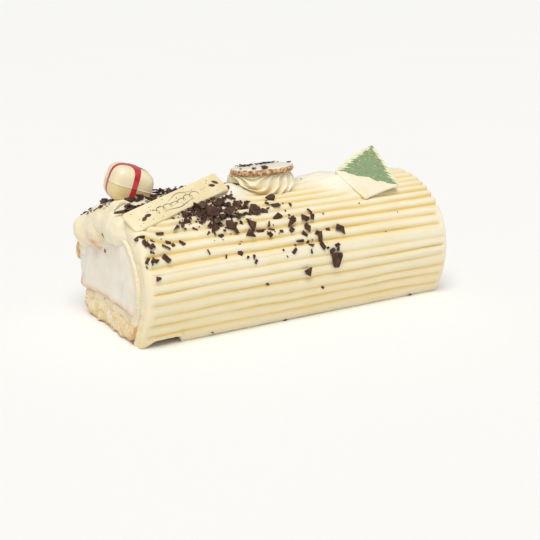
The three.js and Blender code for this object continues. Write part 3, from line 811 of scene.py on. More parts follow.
def seat(shape, axes, node):
    """Where a turned shape has to be moved to, so that its box and the CAD node's box share one centre."""
    turned = shape.reshape(-1, 3) @ axes
    return node_centre(node) - (turned.min(axis=0) + turned.max(axis=0)) / 2.0


def even_outline(points, count, rounding=0):
    """A closed outline walked in equal steps, then averaged over its neighbours so that its corners are
    rounded."""
    closed = np.concatenate([points, points[:1]])
    length = np.concatenate([[0.0], np.cumsum(np.linalg.norm(np.diff(closed, axis=0), axis=1))])
    at = np.linspace(0.0, length[-1], count, endpoint=False)
    walked = np.stack([np.interp(at, length, closed[:, k]) for k in (0, 1)], axis=1)
    for _ in range(rounding):
        walked = (np.roll(walked, 1, axis=0) + walked * 2.0 + np.roll(walked, -1, axis=0)) / 4.0
    return walked


def turned_left(ways):
    """Directions in a plane, each turned a quarter turn to the left."""
    return np.stack([-ways[:, 1], ways[:, 0]], axis=1)


def moved_in(loop, distance):
    """An outline moved inwards along its own normals. It runs anticlockwise."""
    along = np.roll(loop, -1, axis=0) - np.roll(loop, 1, axis=0)
    along /= np.linalg.norm(along, axis=1, keepdims=True)
    return loop + distance * turned_left(along)


def plate(loop, thickness, edge):
    """Rings of a flat plate with rounded edges: from the middle of its face, z = 0, out, round the edge
    as a half circle squeezed to the thickness, and back in underneath."""
    middle = loop.mean(axis=0)
    reach = moved_in(loop, edge) - middle
    face = [(middle + reach * share, 0.0) for share in (0.1, 0.4, 0.7)]
    side = []
    for turn in np.linspace(0.0, math.pi, 9):
        ring = moved_in(loop, edge * (1.0 - math.sin(turn)))
        side.append((ring, -thickness * (1.0 - math.cos(turn)) / 2.0))
    under = [(ring, -thickness) for ring, _ in reversed(face)]
    return np.stack([np.column_stack([ring, np.full(len(ring), z)]) for ring, z in face + side + under])


def make_plate(name, loop, thickness, edge, axes, material, node):
    """A plate of white chocolate in the place of a CAD node's. It gives where the origin of the plate's
    own axes lies."""
    shape = plate(loop, thickness, edge)
    offset = seat(shape, axes, node)
    closed_loft(name, shape @ axes + offset, material, (node,))
    return offset


# A print's underside lies this far inside the chocolate, and its top this far above it. The fir's three
# prints overlap, so each stands a little above the one before.
PRINT_FOOT = -0.1
GREETING_PRINT, TIPS_PRINT, FIR_PRINT, DOTS_PRINT = 0.08, 0.05, 0.09, 0.13


def stamps(name, loops, height, axes, offset, material):
    """Closed flat patches that stand a hair above a plate's face: each outline is a top, a bottom and a
    wall."""
    points, faces, base = [], [], 0
    for loop in loops:
        count = len(loop)
        for z in (height, PRINT_FOOT):
            points.append(np.column_stack([loop, np.full(count, z)]))
        top, bottom = list(range(base, base + count)), list(range(base + count, base + 2 * count))
        faces += [top, bottom[::-1]]
        faces += [(bottom[k], bottom[(k + 1) % count], top[(k + 1) % count], top[k]) for k in range(count)]
        base += 2 * count
    add_piece(name, np.concatenate(points) @ axes + offset, faces, material, flat=True)


def strokes(name, drawn, height, axes, offset, material):
    """Drawn lines that stand a hair above a plate's face: each path is carried by a flat four-cornered
    section of its own width, and closed at both ends."""
    points, faces, base = [], [], 0
    for path, width in drawn:
        along = np.gradient(path, axis=0)
        along /= np.linalg.norm(along, axis=1, keepdims=True)
        aside = turned_left(along) * np.broadcast_to(width, len(path))[:, None] / 2.0
        left, right = path + aside, path - aside
        sides = ((right, height), (left, height), (left, PRINT_FOOT), (right, PRINT_FOOT))
        rings = np.stack([np.column_stack([edge, np.full(len(edge), z)]) for edge, z in sides], axis=1)
        last = base + 4 * (len(rings) - 1)
        faces += [tuple(base + i for i in face) for face in grid(len(rings), 4, wrap_columns=True)]
        faces += [tuple(range(base + 3, base - 1, -1)), tuple(range(last, last + 4))]
        points.append(rings.reshape(-1, 3))
        base = last + 4
    add_piece(name, np.concatenate(points) @ axes + offset, faces, material, flat=True)


# The bonbon's side and height, the power that rounds its section and the power that rounds it from top to
# bottom.
GIFT = {"side": 28.2, "height": 24.6, "round": 4.8, "draft": 3.3}
# It is turned on its base, then leant over to the right.
GIFT_LEAN = Matrix.Rotation(math.radians(19.8), 3, Vector((0.282, 0.959, 0.0)).normalized())
GIFT_AXES = np.array(GIFT_LEAN @ Matrix.Rotation(math.radians(-7.4), 3, "Z")).T


def gift_skin(level, turn, grow=0.0):
    """The bonbon's surface: rounded-square sections whose size falls off with height as a superellipse
    does, and a thin lip where the two halves of the mould met."""
    shrink = np.maximum((1.0 - np.abs(level) ** GIFT["draft"]).clip(0.0) ** (1.0 / GIFT["draft"]), 0.02)
    lip = 0.35 * np.exp(-((level / 0.02) ** 2))
    reach = shrink * GIFT["side"] / 2.0 + lip + grow
    c, s = np.cos(turn), np.sin(turn)
    square = (np.abs(c) ** GIFT["round"] + np.abs(s) ** GIFT["round"]) ** (-1.0 / GIFT["round"])
    z = level * (GIFT["height"] / 2.0 + grow) + 0.0 * turn
    return np.stack([reach * square * c, reach * square * s, z], axis=-1)


def make_gift(shell_material, ribbon_material):
    """A moulded white chocolate box, and the ribbon printed on it: two bands that cross on top and run
    down the middle of each side, thin films of which the second lies over the first. Each place of a band
    is pushed out from the box's middle until it meets the skin, and the bands widen where they cross."""
    level = np.sin(np.linspace(-math.pi / 2, math.pi / 2, 90))[:, None]
    level = np.sort(np.concatenate([level, np.linspace(-0.05, 0.05, 11)[:, None]]), axis=0)
    turn = np.linspace(0.0, 2.0 * math.pi, 160, endpoint=False)[None, :]
    shape = gift_skin(level, turn)
    offset = seat(shape, GIFT_AXES, "gift_bonbon")
    # The lower half is painted darker and yellower, as shade where it faces down to the cream.
    closed_loft(
        "gift_box", shape @ GIFT_AXES + offset, shell_material, ("gift_bonbon",),
        {"thick": 0.7 * smooth(-level, -0.03, 0.05) + 0.0 * turn},
    )

    around = np.linspace(-0.8, math.pi + 0.8, 150)[:, None]
    half = 1.7 + 2.2 * np.exp(-(((around - 1.75) / 0.42) ** 2))
    # The skin is about 14 mm from the box's middle, and over that a half width becomes a slope.
    aside = np.linspace(-1.0, 1.0, 9) * half / 14.0
    direction = np.stack([np.cos(around) + 0.0 * aside, aside, np.sin(around) + 0.0 * aside], axis=-1)
    # The band stops a hair short of the box's very top, where all its turns meet.
    level = np.clip(reach_level(direction), -0.999999, 0.999999)
    heading = np.arctan2(direction[..., 1], direction[..., 0])
    for name, start, proud in (("ribbon_along", 0.0, 0.1), ("ribbon_across", 90.0, 0.25)):
        upper, under = (gift_skin(level, heading + math.radians(start), grow) for grow in (proud, -0.3))
        rings = np.concatenate([upper, under[:, ::-1]], axis=1)
        closed_loft(name, rings @ GIFT_AXES + offset, ribbon_material)


def reach_level(direction):
    """The level at which a line from the box's middle leaves it, found by halving."""
    low, high = np.zeros(direction.shape[:2]), np.ones(direction.shape[:2])
    flat = np.linalg.norm(direction[..., :2], axis=-1)
    turn = np.arctan2(direction[..., 1], direction[..., 0])
    slope = np.abs(direction[..., 2]) / np.maximum(flat, 1e-6)
    for _ in range(30):
        level = (low + high) / 2.0
        skin = gift_skin(level, turn)
        steep = skin[..., 2] / np.maximum(np.linalg.norm(skin[..., :2], axis=-1), 1e-6)
        low, high = np.where(steep < slope, level, low), np.where(steep < slope, high, level)
    return level * np.sign(direction[..., 2])


# The greeting plate's sizes, and the ways that its length and its width run.
GREETING = {"length": 82.0, "width": 16.0, "thickness": 2.5, "corner": 2.2, "bevel": 0.7}
GREETING_AXES = axes_along((77.0, 23.0, 14.5), (-5.0, 10.0, 8.3))


def rounded_rectangle(length, width, radius):
    """An outline of four quarter circles joined by straight sides."""
    turn = np.linspace(0.0, math.pi / 2, 7)
    corners = []
    for k, (sx, sy) in enumerate(((1, 1), (-1, 1), (-1, -1), (1, -1))):
        arc = turn + k * math.pi / 2
        x = sx * (length / 2 - radius) + radius * np.cos(arc)
        y = sy * (width / 2 - radius) + radius * np.sin(arc)
        corners.append(np.stack([x, y], axis=1))
    return np.concatenate(corners)


def make_greeting(plate_material, print_material):
    """A cut strip of white chocolate with a bevelled edge. A letterless flourish, two small sprigs and a
    scatter of dots are printed on it."""
    loop = even_outline(rounded_rectangle(GREETING["length"], GREETING["width"], GREETING["corner"]), 240)
    offset = make_plate(
        "greeting_plate", loop, GREETING["thickness"], GREETING["bevel"], GREETING_AXES, plate_material,
        "greeting_plaque",
    )
    run = np.linspace(0.0, 1.0, 300)
    turns = 13.0 * math.pi * run
    curl_x = -21.0 + 38.0 * run + 2.0 * np.sin(turns)
    curl_y = (1.5 + 0.7 * np.sin(9.0 * run)) * np.cos(turns) - 0.4
    curl = np.stack([curl_x, curl_y], axis=1)
    swash = np.stack([-14.0 + 26.0 * run, -4.0 + 0.8 * np.sin(2.6 * math.pi * run + 0.6)], axis=1)
    upper = np.stack([-6.0 + 22.0 * run, 4.0 - 1.2 * np.cos(2.3 * math.pi * run)], axis=1)
    swell = 0.16 + 0.3 * np.sin(math.pi * run) ** 2
    drawn = [(curl, 0.26 + 0.14 * np.cos(turns)), (swash, swell), (upper, swell * 0.8)]
    strokes("greeting_flourish", drawn, GREETING_PRINT, GREETING_AXES, offset, print_material)
    loops = sprig(-28.0, -1.2, 20.0) + sprig(33.0, 0.4, -20.0)
    rng = np.random.default_rng(7)
    dots = zip(rng.uniform(-36, 38, 40), rng.uniform(-6.4, 6.4, 40), rng.uniform(0.16, 0.4, 40))
    for x, y, radius in dots:
        loops.append(blot(x, y, radius, rng))
    stamps("greeting_print", loops, GREETING_PRINT, GREETING_AXES, offset, print_material)


def blot(x, y, radius, rng):
    """A small uneven round: nine corners, each at its own share of the radius."""
    corners = 9
    turn = np.linspace(0.0, 2.0 * math.pi, corners, endpoint=False)
    reach = radius * rng.uniform(0.75, 1.2, corners)
    return np.stack([x + reach * np.cos(turn), y + reach * np.sin(turn)], axis=1)


def sprig(x, y, tilt):
    """Two pointed leaves with toothed edges, one behind the other: ovals pinched at their ends, with
    every other point drawn in."""
    turn = np.linspace(0.0, 2.0 * math.pi, 24, endpoint=False)
    tooth = np.where(np.arange(24) % 2, 0.78, 1.08)
    along = 2.6 * np.cos(turn) * (1.0 - 0.25 * np.abs(np.sin(turn)))
    across = 1.35 * np.sin(turn) * tooth
    leaves = []
    for shift, lean in ((-1.9, tilt), (2.0, tilt - 25.0)):
        c, s = math.cos(math.radians(lean)), math.sin(math.radians(lean))
        leaf_x = x + shift + c * along - s * across
        leaf_y = y + 0.3 * shift + s * along + c * across
        leaves.append(np.stack([leaf_x, leaf_y], axis=1))
    return leaves


# The tree plate leans back and to the left. Its sizes and axes, then its corners.
TREE = {"thickness": 2.2, "bevel": 0.6}
TREE_AXES = axes_of(40.0, -6.3, -28.1)
# The tree plate's four corners in its own plane and how far the edge after each bows outwards.
TREE_CORNERS = [((2.3, 33.5), 2.0), ((-24.6, 0.0), 0.4), ((-1.3, -19.1), -0.8), ((23.5, 0.0), 0.8)]


def bowed(corners):
    """An outline whose edges are arcs: each is a quadratic curve pulled out at its middle by twice its
    bow."""
    share = np.linspace(0.0, 1.0, 40, endpoint=False)[:, None]
    edges = []
    for (start, bow), (stop, _) in zip(corners, corners[1:] + corners[:1]):
        start, stop = np.array(start), np.array(stop)
        along = (stop - start) / np.linalg.norm(stop - start)
        pull = (start + stop) / 2.0 + 2.0 * bow * np.array([along[1], -along[0]])
        edges.append((1 - share) ** 2 * start + 2 * share * (1 - share) * pull + share**2 * stop)
    return np.concatenate(edges)


# The fir's stepped hem, from its left tip to its right one.
FIR_HEM = [
    (-16.0, 1.4), (-15.6, 0.5), (-9.6, 0.3), (-9.2, -0.3), (-1.5, 0.9), (0.4, 1.2), (4.2, -0.4),
    (7.2, -1.3), (8.0, -0.1), (13.0, 0.0), (13.4, -0.8), (18.4, -0.4),
]


def fir_outline(rng, apex, left, right, reach):
    """A fir's outline: down each side a row of branch tips, long and short in turn, each cut back level
    on its lower side by a share of the reach, and a stepped hem between the two lowest tips."""
    tips = 12
    sides = []
    for corner, bulge in ((left, -1.6), (right, 0.7)):
        inward = -np.sign(corner[0])
        side = []
        for k in range(1, tips + 1):
            share = k / tips
            at = np.array(apex) + (np.array(corner) - apex) * share
            at[0] += bulge * 4.0 * share * (1.0 - share)
            short = 0.0 if k % 2 or k == tips else 0.45 * reach
            cut = reach * (0.35 + 0.65 * share) * rng.uniform(0.75, 1.25)
            side.append((at[0] + inward * short, at[1]))
            if k < tips:
                side.append((at[0] + inward * (short + cut), at[1] + 0.25))
        sides.append(side)
    return np.array([apex] + sides[0] + FIR_HEM + sides[1][::-1])


def make_tree(plate_material, fir_material, dot_material, tip_material):
    """A kite of white chocolate with a generic fir printed on its upper part: pale branch tips, the green
    fir over them, and clusters of plain dots that swing from side to side on their way down."""
    loop = even_outline(bowed(TREE_CORNERS), 320, rounding=10)
    offset = make_plate(
        "tree_plate", loop, TREE["thickness"], TREE["bevel"], TREE_AXES, plate_material, "tree_plaque",
    )
    rng = np.random.default_rng(11)
    pale = fir_outline(rng, (2.2, 32.6), (-23.6, 0.9), (22.8, 0.2), 1.8)
    stamps("fir_tips", [pale], TIPS_PRINT, TREE_AXES, offset, tip_material)
    fir = fir_outline(rng, (2.2, 32.2), (-22.8, 1.0), (22.2, 0.3), 4.6)
    stamps("fir_print", [fir], FIR_PRINT, TREE_AXES, offset, fir_material)
    dots = []
    for k in range(24):
        up = 28.5 - 1.15 * k + rng.uniform(-0.8, 0.8)
        x = 1.6 + 0.5 * (33.0 - up) * math.sin(2.4 * k + 0.5)
        for _ in range(rng.integers(2, 5)):
            aside, above = rng.uniform(-1.1, 1.1), rng.uniform(-0.6, 0.6)
            dots.append(blot(x + aside, up + above, rng.uniform(0.35, 0.65), rng))
    stamps("fir_dots", dots, DOTS_PRINT, TREE_AXES, offset, dot_material)


ROSETTE_CENTRE = node_centre("piped_rosette")
ROSETTE_FOOT = node_box("piped_rosette")[0][2]
ROSETTE_TOP = 94.0
# The part that shows starts at the coat's top and is this high.
ROSETTE_SHOWN = 9.5
# The rosette's ridges are numbered round it: turn, the ridge's number half-way up the part that shows,
# and how many ridges a line straight up that part crosses. They stand nearly upright all round but for
# one long fold.
ROSETTE_FLOW = [
    (178.0, 1.9, 3.0), (202.0, 1.35, 4.4), (214.0, 0.25, 3.8), (226.0, 0.0, 2.8), (236.0, 0.1, 1.6),
    (252.0, 1.0, 0.8), (310.0, 4.0, 0.75), (500.0, 13.8, 0.7), (538.0, 16.9, 3.0),
]
ROSETTE_RIDGES = 15


def make_rosette(material):
    """Cream piped with a star nozzle: sharp ridges with round hollows between them, one ridge wherever
    the flow's number is whole. The ridges have a slight S, and where the flow is steep they lie over in
    long level folds."""
    rows, columns = 100, 900
    level = np.linspace(0.0, 1.0, rows)[:, None]
    at, number, steepness = np.array(ROSETTE_FLOW).T
    past_seam = np.linspace(0.0, 360.0, columns, endpoint=False)[None, :]
    # The flow is averaged over a few degrees either way, so that it bends softly at the table's turns.
    spread = past_seam + np.linspace(-9.0, 9.0, 13)[:, None]
    wrapped = at[0] + spread % 360.0
    count = (np.interp(wrapped, at, number) + ROSETTE_RIDGES * np.floor(spread / 360.0)).mean(axis=0)
    steep = np.interp(wrapped, at, steepness).mean(axis=0)
    height = ROSETTE_FOOT + (ROSETTE_TOP - ROSETTE_FOOT) * level
    shown = (height - CENTRE_Z - COAT[1]) / ROSETTE_SHOWN
    phase = count - steep * (np.maximum(shown, -0.3) - 0.43 + 0.12 * np.sin(2.0 * math.pi * shown))
    ridge = (1.0 - np.abs(np.sin(math.pi * phase))) ** 1.1
    swell = np.sin(math.pi * level)
    turn = at[0] + past_seam
    reach = 20.4 + 2.4 * swell - 1.2 * level + (1.98 + 1.62 * swell) * (ridge - 0.5)
    reach = reach + 0.25 * noise(turn / 25.0, level * 3.0, 0.5, 92)
    x = ROSETTE_CENTRE[0] + reach * np.cos(np.radians(turn))
    y = ROSETTE_CENTRE[1] + reach * np.sin(np.radians(turn))
    points = np.stack([x, y, height + (ridge - 0.5) * swell], axis=-1)
    # Painted golden shade in the hollows between ridges, stronger low down, and a painted highlight on the
    # ridges.
    painted_golden_shade = np.clip(0.85 - 1.5 * ridge, 0.0, 1.0) * (0.25 + 0.6 * (1.0 - smooth(shown, 0.1, 0.6)))
    values = {"painted_golden_shade": painted_golden_shade, "smear_and_highlight": 0.5 * ridge}
    return closed_loft("rosette_swirl", points, material, ("piped_rosette",), values)


# The disc's sizes, and its slight lean.
DISC_AXES = axes_of(-6.2, -1.6, 0.0)
DISC = {"radius": 21.4, "thickness": 3.8, "bevel": 0.8}


def make_disc(plate_material, crumb_material):
    """A round of white chocolate with crushed toasted biscuit pressed all round its edge: a ring whose
    round section is swollen by grains of two sizes, except on its inner side. It gives where the middle
    of the round's face lies."""
    radius, middle = DISC["radius"], -DISC["thickness"] / 2.0 - 0.5
    turn = np.linspace(0.0, 2.0 * math.pi, 200, endpoint=False)
    loop = radius * np.stack([np.cos(turn), np.sin(turn)], axis=1)
    # The plate stops a little inside the rim that is pressed on it.
    offset = make_plate(
        "disc_plate", loop * 0.985, DISC["thickness"], DISC["bevel"], DISC_AXES, plate_material,
        "topper_disc",
    )
    rows, columns = 30, 760
    around = np.linspace(0.0, 2.0 * math.pi, columns, endpoint=False)[None, :]
    tube = np.linspace(0.0, 2.0 * math.pi, rows, endpoint=False)[:, None]
    ragged = 0.35 * noise(4.0 * around / math.pi, 0.5, 0.5, 97) * np.sin(around / 2.0)
    reach = radius - 0.8 + 0.7 * np.cos(tube) + 0 * around
    height = middle + (1.15 + ragged) * np.sin(tube)
    x, y = reach * np.cos(around), reach * np.sin(around)
    grains = 1.7 * (domes(x / 1.9, y / 1.9, height / 1.9, 95) - 0.6)
    grains += 0.6 * (domes(x / 0.8, y / 0.8, height / 0.8, 96) - 0.5)
    swell = np.where(np.cos(tube) > -0.5, grains, 0.0)
    reach = reach + swell * np.cos(tube)
    rim = np.stack([reach * np.cos(around), reach * np.sin(around), height + swell * np.sin(tube)], axis=-1)
    points, faces = rim.reshape(-1, 3) @ DISC_AXES + offset, grid(rows, columns, True, True)
    # High on the grains and low in the gaps between them, which get painted shade.
    values = {"grain": np.clip(0.5 + 0.6 * grains, 0.0, 1.0)}
    add_piece("disc_crumb_rim", points, faces, crumb_material, values=values)
    return offset


# Drifts of shavings on the disc: x, y, reach in x, reach in y, how many and their size.
SHAVING_DRIFTS = [
    (-6.5, 11.0, 3.0, 2.8, 60, 2.0), (9.0, 10.0, 4.5, 2.4, 80, 2.0), (20.0, -3.0, 0.7, 1.6, 7, 2.2),
    (-20.0, -6.0, 1.0, 2.0, 5, 2.0),
]
# Single shavings at its front left: x, y and size.
SHAVINGS = [(-14.0, -13.5, 7.0), (-7.5, -17.0, 7.5), (-3.5, -8.0, 2.0)]


def make_disc_shavings(offset, material):
    """Shavings on the disc: two broad drifts of fine ones across its back and a few at its left and right
    edges, each scattered about its place as a bell falls off, and two large ones at its front left."""
    rng = np.random.default_rng(5)
    single_x, single_y, single_size = np.array(SHAVINGS).T
    x = np.concatenate([rng.normal(at[0], at[2], at[4]) for at in SHAVING_DRIFTS] + [single_x])
    y = np.concatenate([rng.normal(at[1], at[3], at[4]) for at in SHAVING_DRIFTS] + [single_y])
    size = np.concatenate([at[5] * rng.uniform(0.4, 1.2, at[4]) for at in SHAVING_DRIFTS] + [single_size])
    kept = np.hypot(x, y) < DISC["radius"] + 0.5
    x, y, size = x[kept], y[kept], size[kept]
    shapes, faces = shards(len(x), size, rng)
    up = np.tile(np.array([0.0, 0.0, 1.0]), (len(x), 1))
    turned = np.einsum("npk,nkj->npj", shapes, frames_on(up, 14.0, rng))
    turned += np.stack([x, y, 0.15 + 0.1 * size + 0.35 * rng.uniform(0.0, 1.0, len(x))], axis=1)[:, None]
    points, faces = joined(turned, faces)
    add_piece("disc_shavings", points @ DISC_AXES + offset, faces, material, flat=True)


# ---------------------------------------------------------------- chocolate and crumbs

# How far a flake's corners reach from its middle, as a share of its size.
SHARD_REACH = 0.42


def shards(count, sizes, rng, slimness=0.0):
    """Broken flat pieces as (count, 12, 3) points and the faces of one: a thin plate with five corners,
    some of them almost shared so that the piece looks four- or three-cornered, and a middle a little out
    of its face. Where slimness is above 0 it sets how narrow a piece is, from 1 for a square one."""
    corners = np.array([(1.0, 0.1), (0.6, 0.8), (-0.9, 0.75), (-0.8, -0.75), (0.8, -0.7)])
    corners = corners + rng.uniform(-0.26, 0.26, (count, 5, 2))
    # A corner slid most of the way to its neighbour leaves a trapezium or a triangle.
    for gone, kept, share in ((0, 1, 0.7), (2, 3, 0.4), (0, 4, 0.3)):
        slid = np.where(rng.uniform(size=count) < share, rng.uniform(0.5, 0.95, count), 0.0)[:, None]
        corners[:, gone] += slid * (corners[:, kept] - corners[:, gone])
    chosen = rng.choice([1.0, 0.75, 0.5, 0.25], count, p=[0.25, 0.3, 0.25, 0.2])
    narrow = np.where(slimness > 0.0, slimness, chosen)[:, None]
    thick = np.clip(sizes * rng.uniform(0.1, 0.2, count), 0.35, 1.3)[:, None]
    reach = sizes[:, None] * SHARD_REACH
    x, y = reach * corners[..., 0], reach * corners[..., 1] * narrow
    bend = rng.uniform(-0.06, 0.06, (count, 1)) * x * x / np.maximum(sizes[:, None], 1.0)
    lean = rng.uniform(-0.3, 0.3, (count, 2, 1)) * thick[:, None]
    top = np.stack([x + lean[:, 0], y + lean[:, 1], thick / 2.0 + bend], axis=-1)
    bottom = np.stack([x - lean[:, 0], y - lean[:, 1], -thick / 2.0 + bend], axis=-1)
    middles = np.stack([top.mean(axis=1), bottom.mean(axis=1)], axis=1)
    middles[:, 0, 2] += rng.uniform(-0.1, 0.25, count) * thick[:, 0]
    faces = [(k, (k + 1) % 5, 10) for k in range(5)] + [(5 + (k + 1) % 5, 5 + k, 11) for k in range(5)]
    faces += [(5 + k, 5 + (k + 1) % 5, (k + 1) % 5, k) for k in range(5)]
    return np.concatenate([top, bottom, middles], axis=1), faces


def frames_on(normals, tilt, rng):
    """Random axes, as rows, whose third one leans from each normal by up to a tilt in degrees."""
    count = len(normals)
    lean = np.tan(np.radians(tilt * rng.uniform(0.0, 1.0, count)))[:, None]
    facing = normals + lean * rng.normal(size=(count, 3)) * 0.6
    facing /= np.linalg.norm(facing, axis=1, keepdims=True)
    aside = np.cross(facing, rng.normal(size=(count, 3)))
    aside /= np.linalg.norm(aside, axis=1, keepdims=True)
    return np.stack([aside, np.cross(facing, aside), facing], axis=1)


def joined(points, faces):
    """Many copies of one small shape, shaped (copies, points, 3), as one list of points and one of
    faces."""
    count, size = points.shape[:2]
    copied = [tuple(i + k * size for i in face) for k in range(count) for face in faces]
    return points.reshape(-1, 3), copied


def surface_tree(piece):
    """A piece's surface, ready for rays."""
    return BVHTree.FromObject(piece, bpy.context.evaluated_depsgraph_get())


def settle(trees, starts, ways):
    """Where dropped things come to rest: a ray runs from each start to the first surface that it meets.
    It gives the places in millimetres, the ways those surfaces face and which rays have met one."""
    places, facing, met = [], [], []
    for start, way in zip(starts, ways):
        hits = [tree.ray_cast(Vector(start * MM), Vector(way)) for tree in trees]
        hits = [hit for hit in hits if hit[0] is not None]
        spot, face = min(hits, key=lambda hit: hit[3])[:2] if hits else (start * MM, way)
        places.append(np.array(spot) / MM)
        facing.append(np.array(face))
        met.append(bool(hits))
    return np.array(places), np.array(facing), np.array(met)


# Drifts of small flakes: place along, angle, reach along, reach round, how many, largest size and how
# deep they pile.
DRIFTS = [
    (-83, 58, 3, 2, 14, 6, 1.5), (-77, 63, 3.5, 2, 28, 7, 2.8), (-70, 68, 3.5, 3, 34, 7, 3.8),
    (-63, 72, 4, 3, 30, 7, 4.2), (-55, 75, 4, 3, 20, 7, 3.8), (-63, 62, 4, 4, 30, 7, 2.8),
    (-54, 64, 5, 4, 28, 7, 2.4), (-47, 69, 5, 3, 18, 7, 1.8), (-67, 55, 6, 4, 24, 6, 1.2),
    (-55, 53, 6, 4, 26, 6, 1.0), (-44, 76, 5, 3, 12, 6, 1.5), (-40, 62, 5, 4, 16, 6, 1.2),
    (-44, 58, 5, 4, 14, 6, 1.0), (-36, 66, 4, 3, 14, 6, 1.0), (-32, 55, 4, 4, 10, 5, 0.8),
    (-13, 62, 4, 3, 9, 5, 0.6), (-7, 46, 4, 3, 7, 4, 0.5), (8, 46, 4, 3, 7, 4, 0.5),
    (-25, 42, 5, 3, 6, 4, 0.2), (3, 30, 8, 5, 5, 3, 0.0), (-60, 40, 10, 3, 6, 3, 0.1),
    (-105, 42, 8, 5, 7, 3, 0.1), (-110, 31, 2.5, 2.5, 6, 5, 0.5), (-119, 140, 1.5, 9, 12, 5, 0.3),
    (-119, 119, 1.5, 8, 12, 5, 0.4), (-117, 103, 2.0, 6, 9, 6, 0.5), (-112, 96, 4, 6, 8, 6, 0.5),
    (-111, 73, 3, 3, 22, 10, 2.2), (-104, 75, 3, 2, 8, 9, 1.4), (-94, 83, 3, 3, 10, 10, 1.5),
    (-74, 96, 10, 4, 60, 8, 4.0), (-31, 93, 4, 4, 10, 7, 1.0),
]
# The larger flakes, one by one: place along, angle, size and slimness, from 1 for a square one down.
SINGLE_FLAKES = [
    (-12, 60, 8, 0.7), (-1, 59, 4, 0.8), (-38, 45, 11, 0.9), (-34, 64, 10, 0.35), (-33, 57, 8, 0.35),
    (-42, 56, 7, 0.8), (-15, 50, 9, 0.6), (-8, 45, 11, 0.9), (-9, 38, 5, 0.8), (-17, 38, 4, 0.7),
    (-24, 45, 7, 0.4), (-23, 41, 5, 0.35), (-26, 37, 5, 0.9), (-32, 41, 7, 0.35), (4, 46, 8, 0.9),
    (10, 46, 7, 0.6), (11, 51, 7, 0.3), (3, 38, 7, 0.7), (0, 33, 6, 0.7), (-5, 28, 8, 0.4),
    (1, 27, 3, 1.0), (3, 24, 5, 0.7), (10, 33, 6, 0.5), (11, 29, 8, 0.6), (19, 35, 6, 0.6),
    (11, 22, 8, 0.7), (15, 19, 3, 0.8), (23, 20, 6, 0.4), (23, 17, 4, 0.8), (18, 16, 5, 0.9),
    (2, 18, 5, 0.6), (-11, 21, 6, 0.6), (-19, 23, 2, 1.0), (-17, 17, 2, 0.6), (-50, 26, 6, 0.6),
    (-46, 22, 3, 0.8), (-42, 21, 5, 0.6), (-41, 17, 4, 0.7), (-61, 25, 4, 0.3), (-73, 31, 6, 0.2),
    (-48, 59, 10, 0.7), (-49, 44, 6, 0.6), (-60, 42, 6, 0.5), (-69, 45, 5, 0.4), (-64, 44, 3, 0.8),
    (-64, 50, 12, 0.9), (-60, 59, 12, 0.9), (-51, 69, 11, 0.8), (-41, 73, 9, 0.3), (-38, 69, 6, 0.4),
    (-59, 72, 9, 0.5), (-64, 65, 10, 0.7), (-70, 60, 8, 0.5), (-56, 55, 9, 0.7), (-46, 65, 8, 0.5),
    (-22, 57, 6, 0.7), (-33, -3, 3.5, 0.9), (11, -12, 3, 0.6), (-70, -31, 3.5, 0.5), (93, -33, 3.5, 0.3),
    (66, 25, 1.2, 1.0), (26, 88, 1.5, 1.0), (52, 52, 1.2, 1.0), (80, 40, 1.0, 1.0), (-14, -34, 4, 0.5),
    (-116, 49, 5, 0.7), (-113, 44, 6.5, 0.8), (-113, 50, 6, 0.35), (-112, 47, 2, 1.0),
    (-109, 41, 5.5, 0.8), (-107, 47, 5, 0.4), (-101, 50, 8, 0.4), (-89, 53, 8, 0.5), (-97, 43, 5, 0.6),
    (-100, 39, 7, 0.3), (-95, 40, 3, 0.9), (-88, 41, 6, 0.7), (-76, 50, 5, 0.25), (-114, 32, 6, 0.4),
    (-110, 30, 6.5, 0.6), (-102, 31, 7, 0.9), (-110, 16, 5, 0.8), (-114, 58, 6, 0.3), (-113, 61, 8, 0.2),
    (-105, 85, 10, 0.8), (-100, 84, 8, 0.4), (-108, 79, 9, 0.6), (-91, 85, 9, 0.7), (-88, 88, 10, 0.35),
    (-104, 77, 8, 0.8),
]
# Where the heap of flakes is deepest: place along and angle, and how far it reaches from there in both.
HEAP = (-58.0, 60.0, 16.0, 11.0)
# Flakes that stick to the left end: y and z.
END_FLAKES = [(3.0, 63.3), (3.8, 52.9)]
# How far off the coat a flake starts its fall.
DROP = 45.0


def drift_flakes(rng):
    """The small flakes, scattered in their drifts as a bell falls off, with a thinner mirror on the back
    of those in front. Columns of place along, angle, size, lift, tilt and slimness, which 0 leaves
    open."""
    drifts = []
    for at, turn, reach_x, reach_turn, count, largest, pile in DRIFTS:
        for mirrored in (False, True) if turn < 90 else (False,):
            some = max(1, int(count * (0.55 if mirrored else 1.0)))
            around = rng.normal(turn, reach_turn, some)
            drifts.append(np.stack([
                rng.normal(at, reach_x, some), 180.0 - around if mirrored else around,
                (largest - 1.0) * rng.beta(1.3, 2.2, some) + 1.0, pile * rng.uniform(0.0, 1.0, some) ** 1.3,
                np.full(some, 12.0 + 14.0 * min(pile, 3.0)), np.zeros(some),
            ]))
    return np.concatenate(drifts, axis=1)


def laid_flakes():
    """The larger flakes, every other one of them again on the back, and those for the left end, in the
    same columns. Near the middle of the heap they lie higher and lean more."""
    at, turn, size, slimness = np.array(SINGLE_FLAKES, float).T
    deep = np.exp(-(((at - HEAP[0]) / HEAP[2]) ** 2) - ((turn - HEAP[1]) / HEAP[3]) ** 2)
    tilt = 10.0 + 16.0 * deep
    front = np.stack([at, turn, size, 2.6 * deep + 0.1, tilt, slimness])
    back = np.stack([at + 6.0, 182.0 - turn, size, 1.6 * deep + 0.1, tilt, slimness])
    ends = np.array([(0.0, 0.0, 4.0, 0.2, 8.0, 0.3)] * len(END_FLAKES)).T
    return np.concatenate([front, back[:, ::2], ends], axis=1)


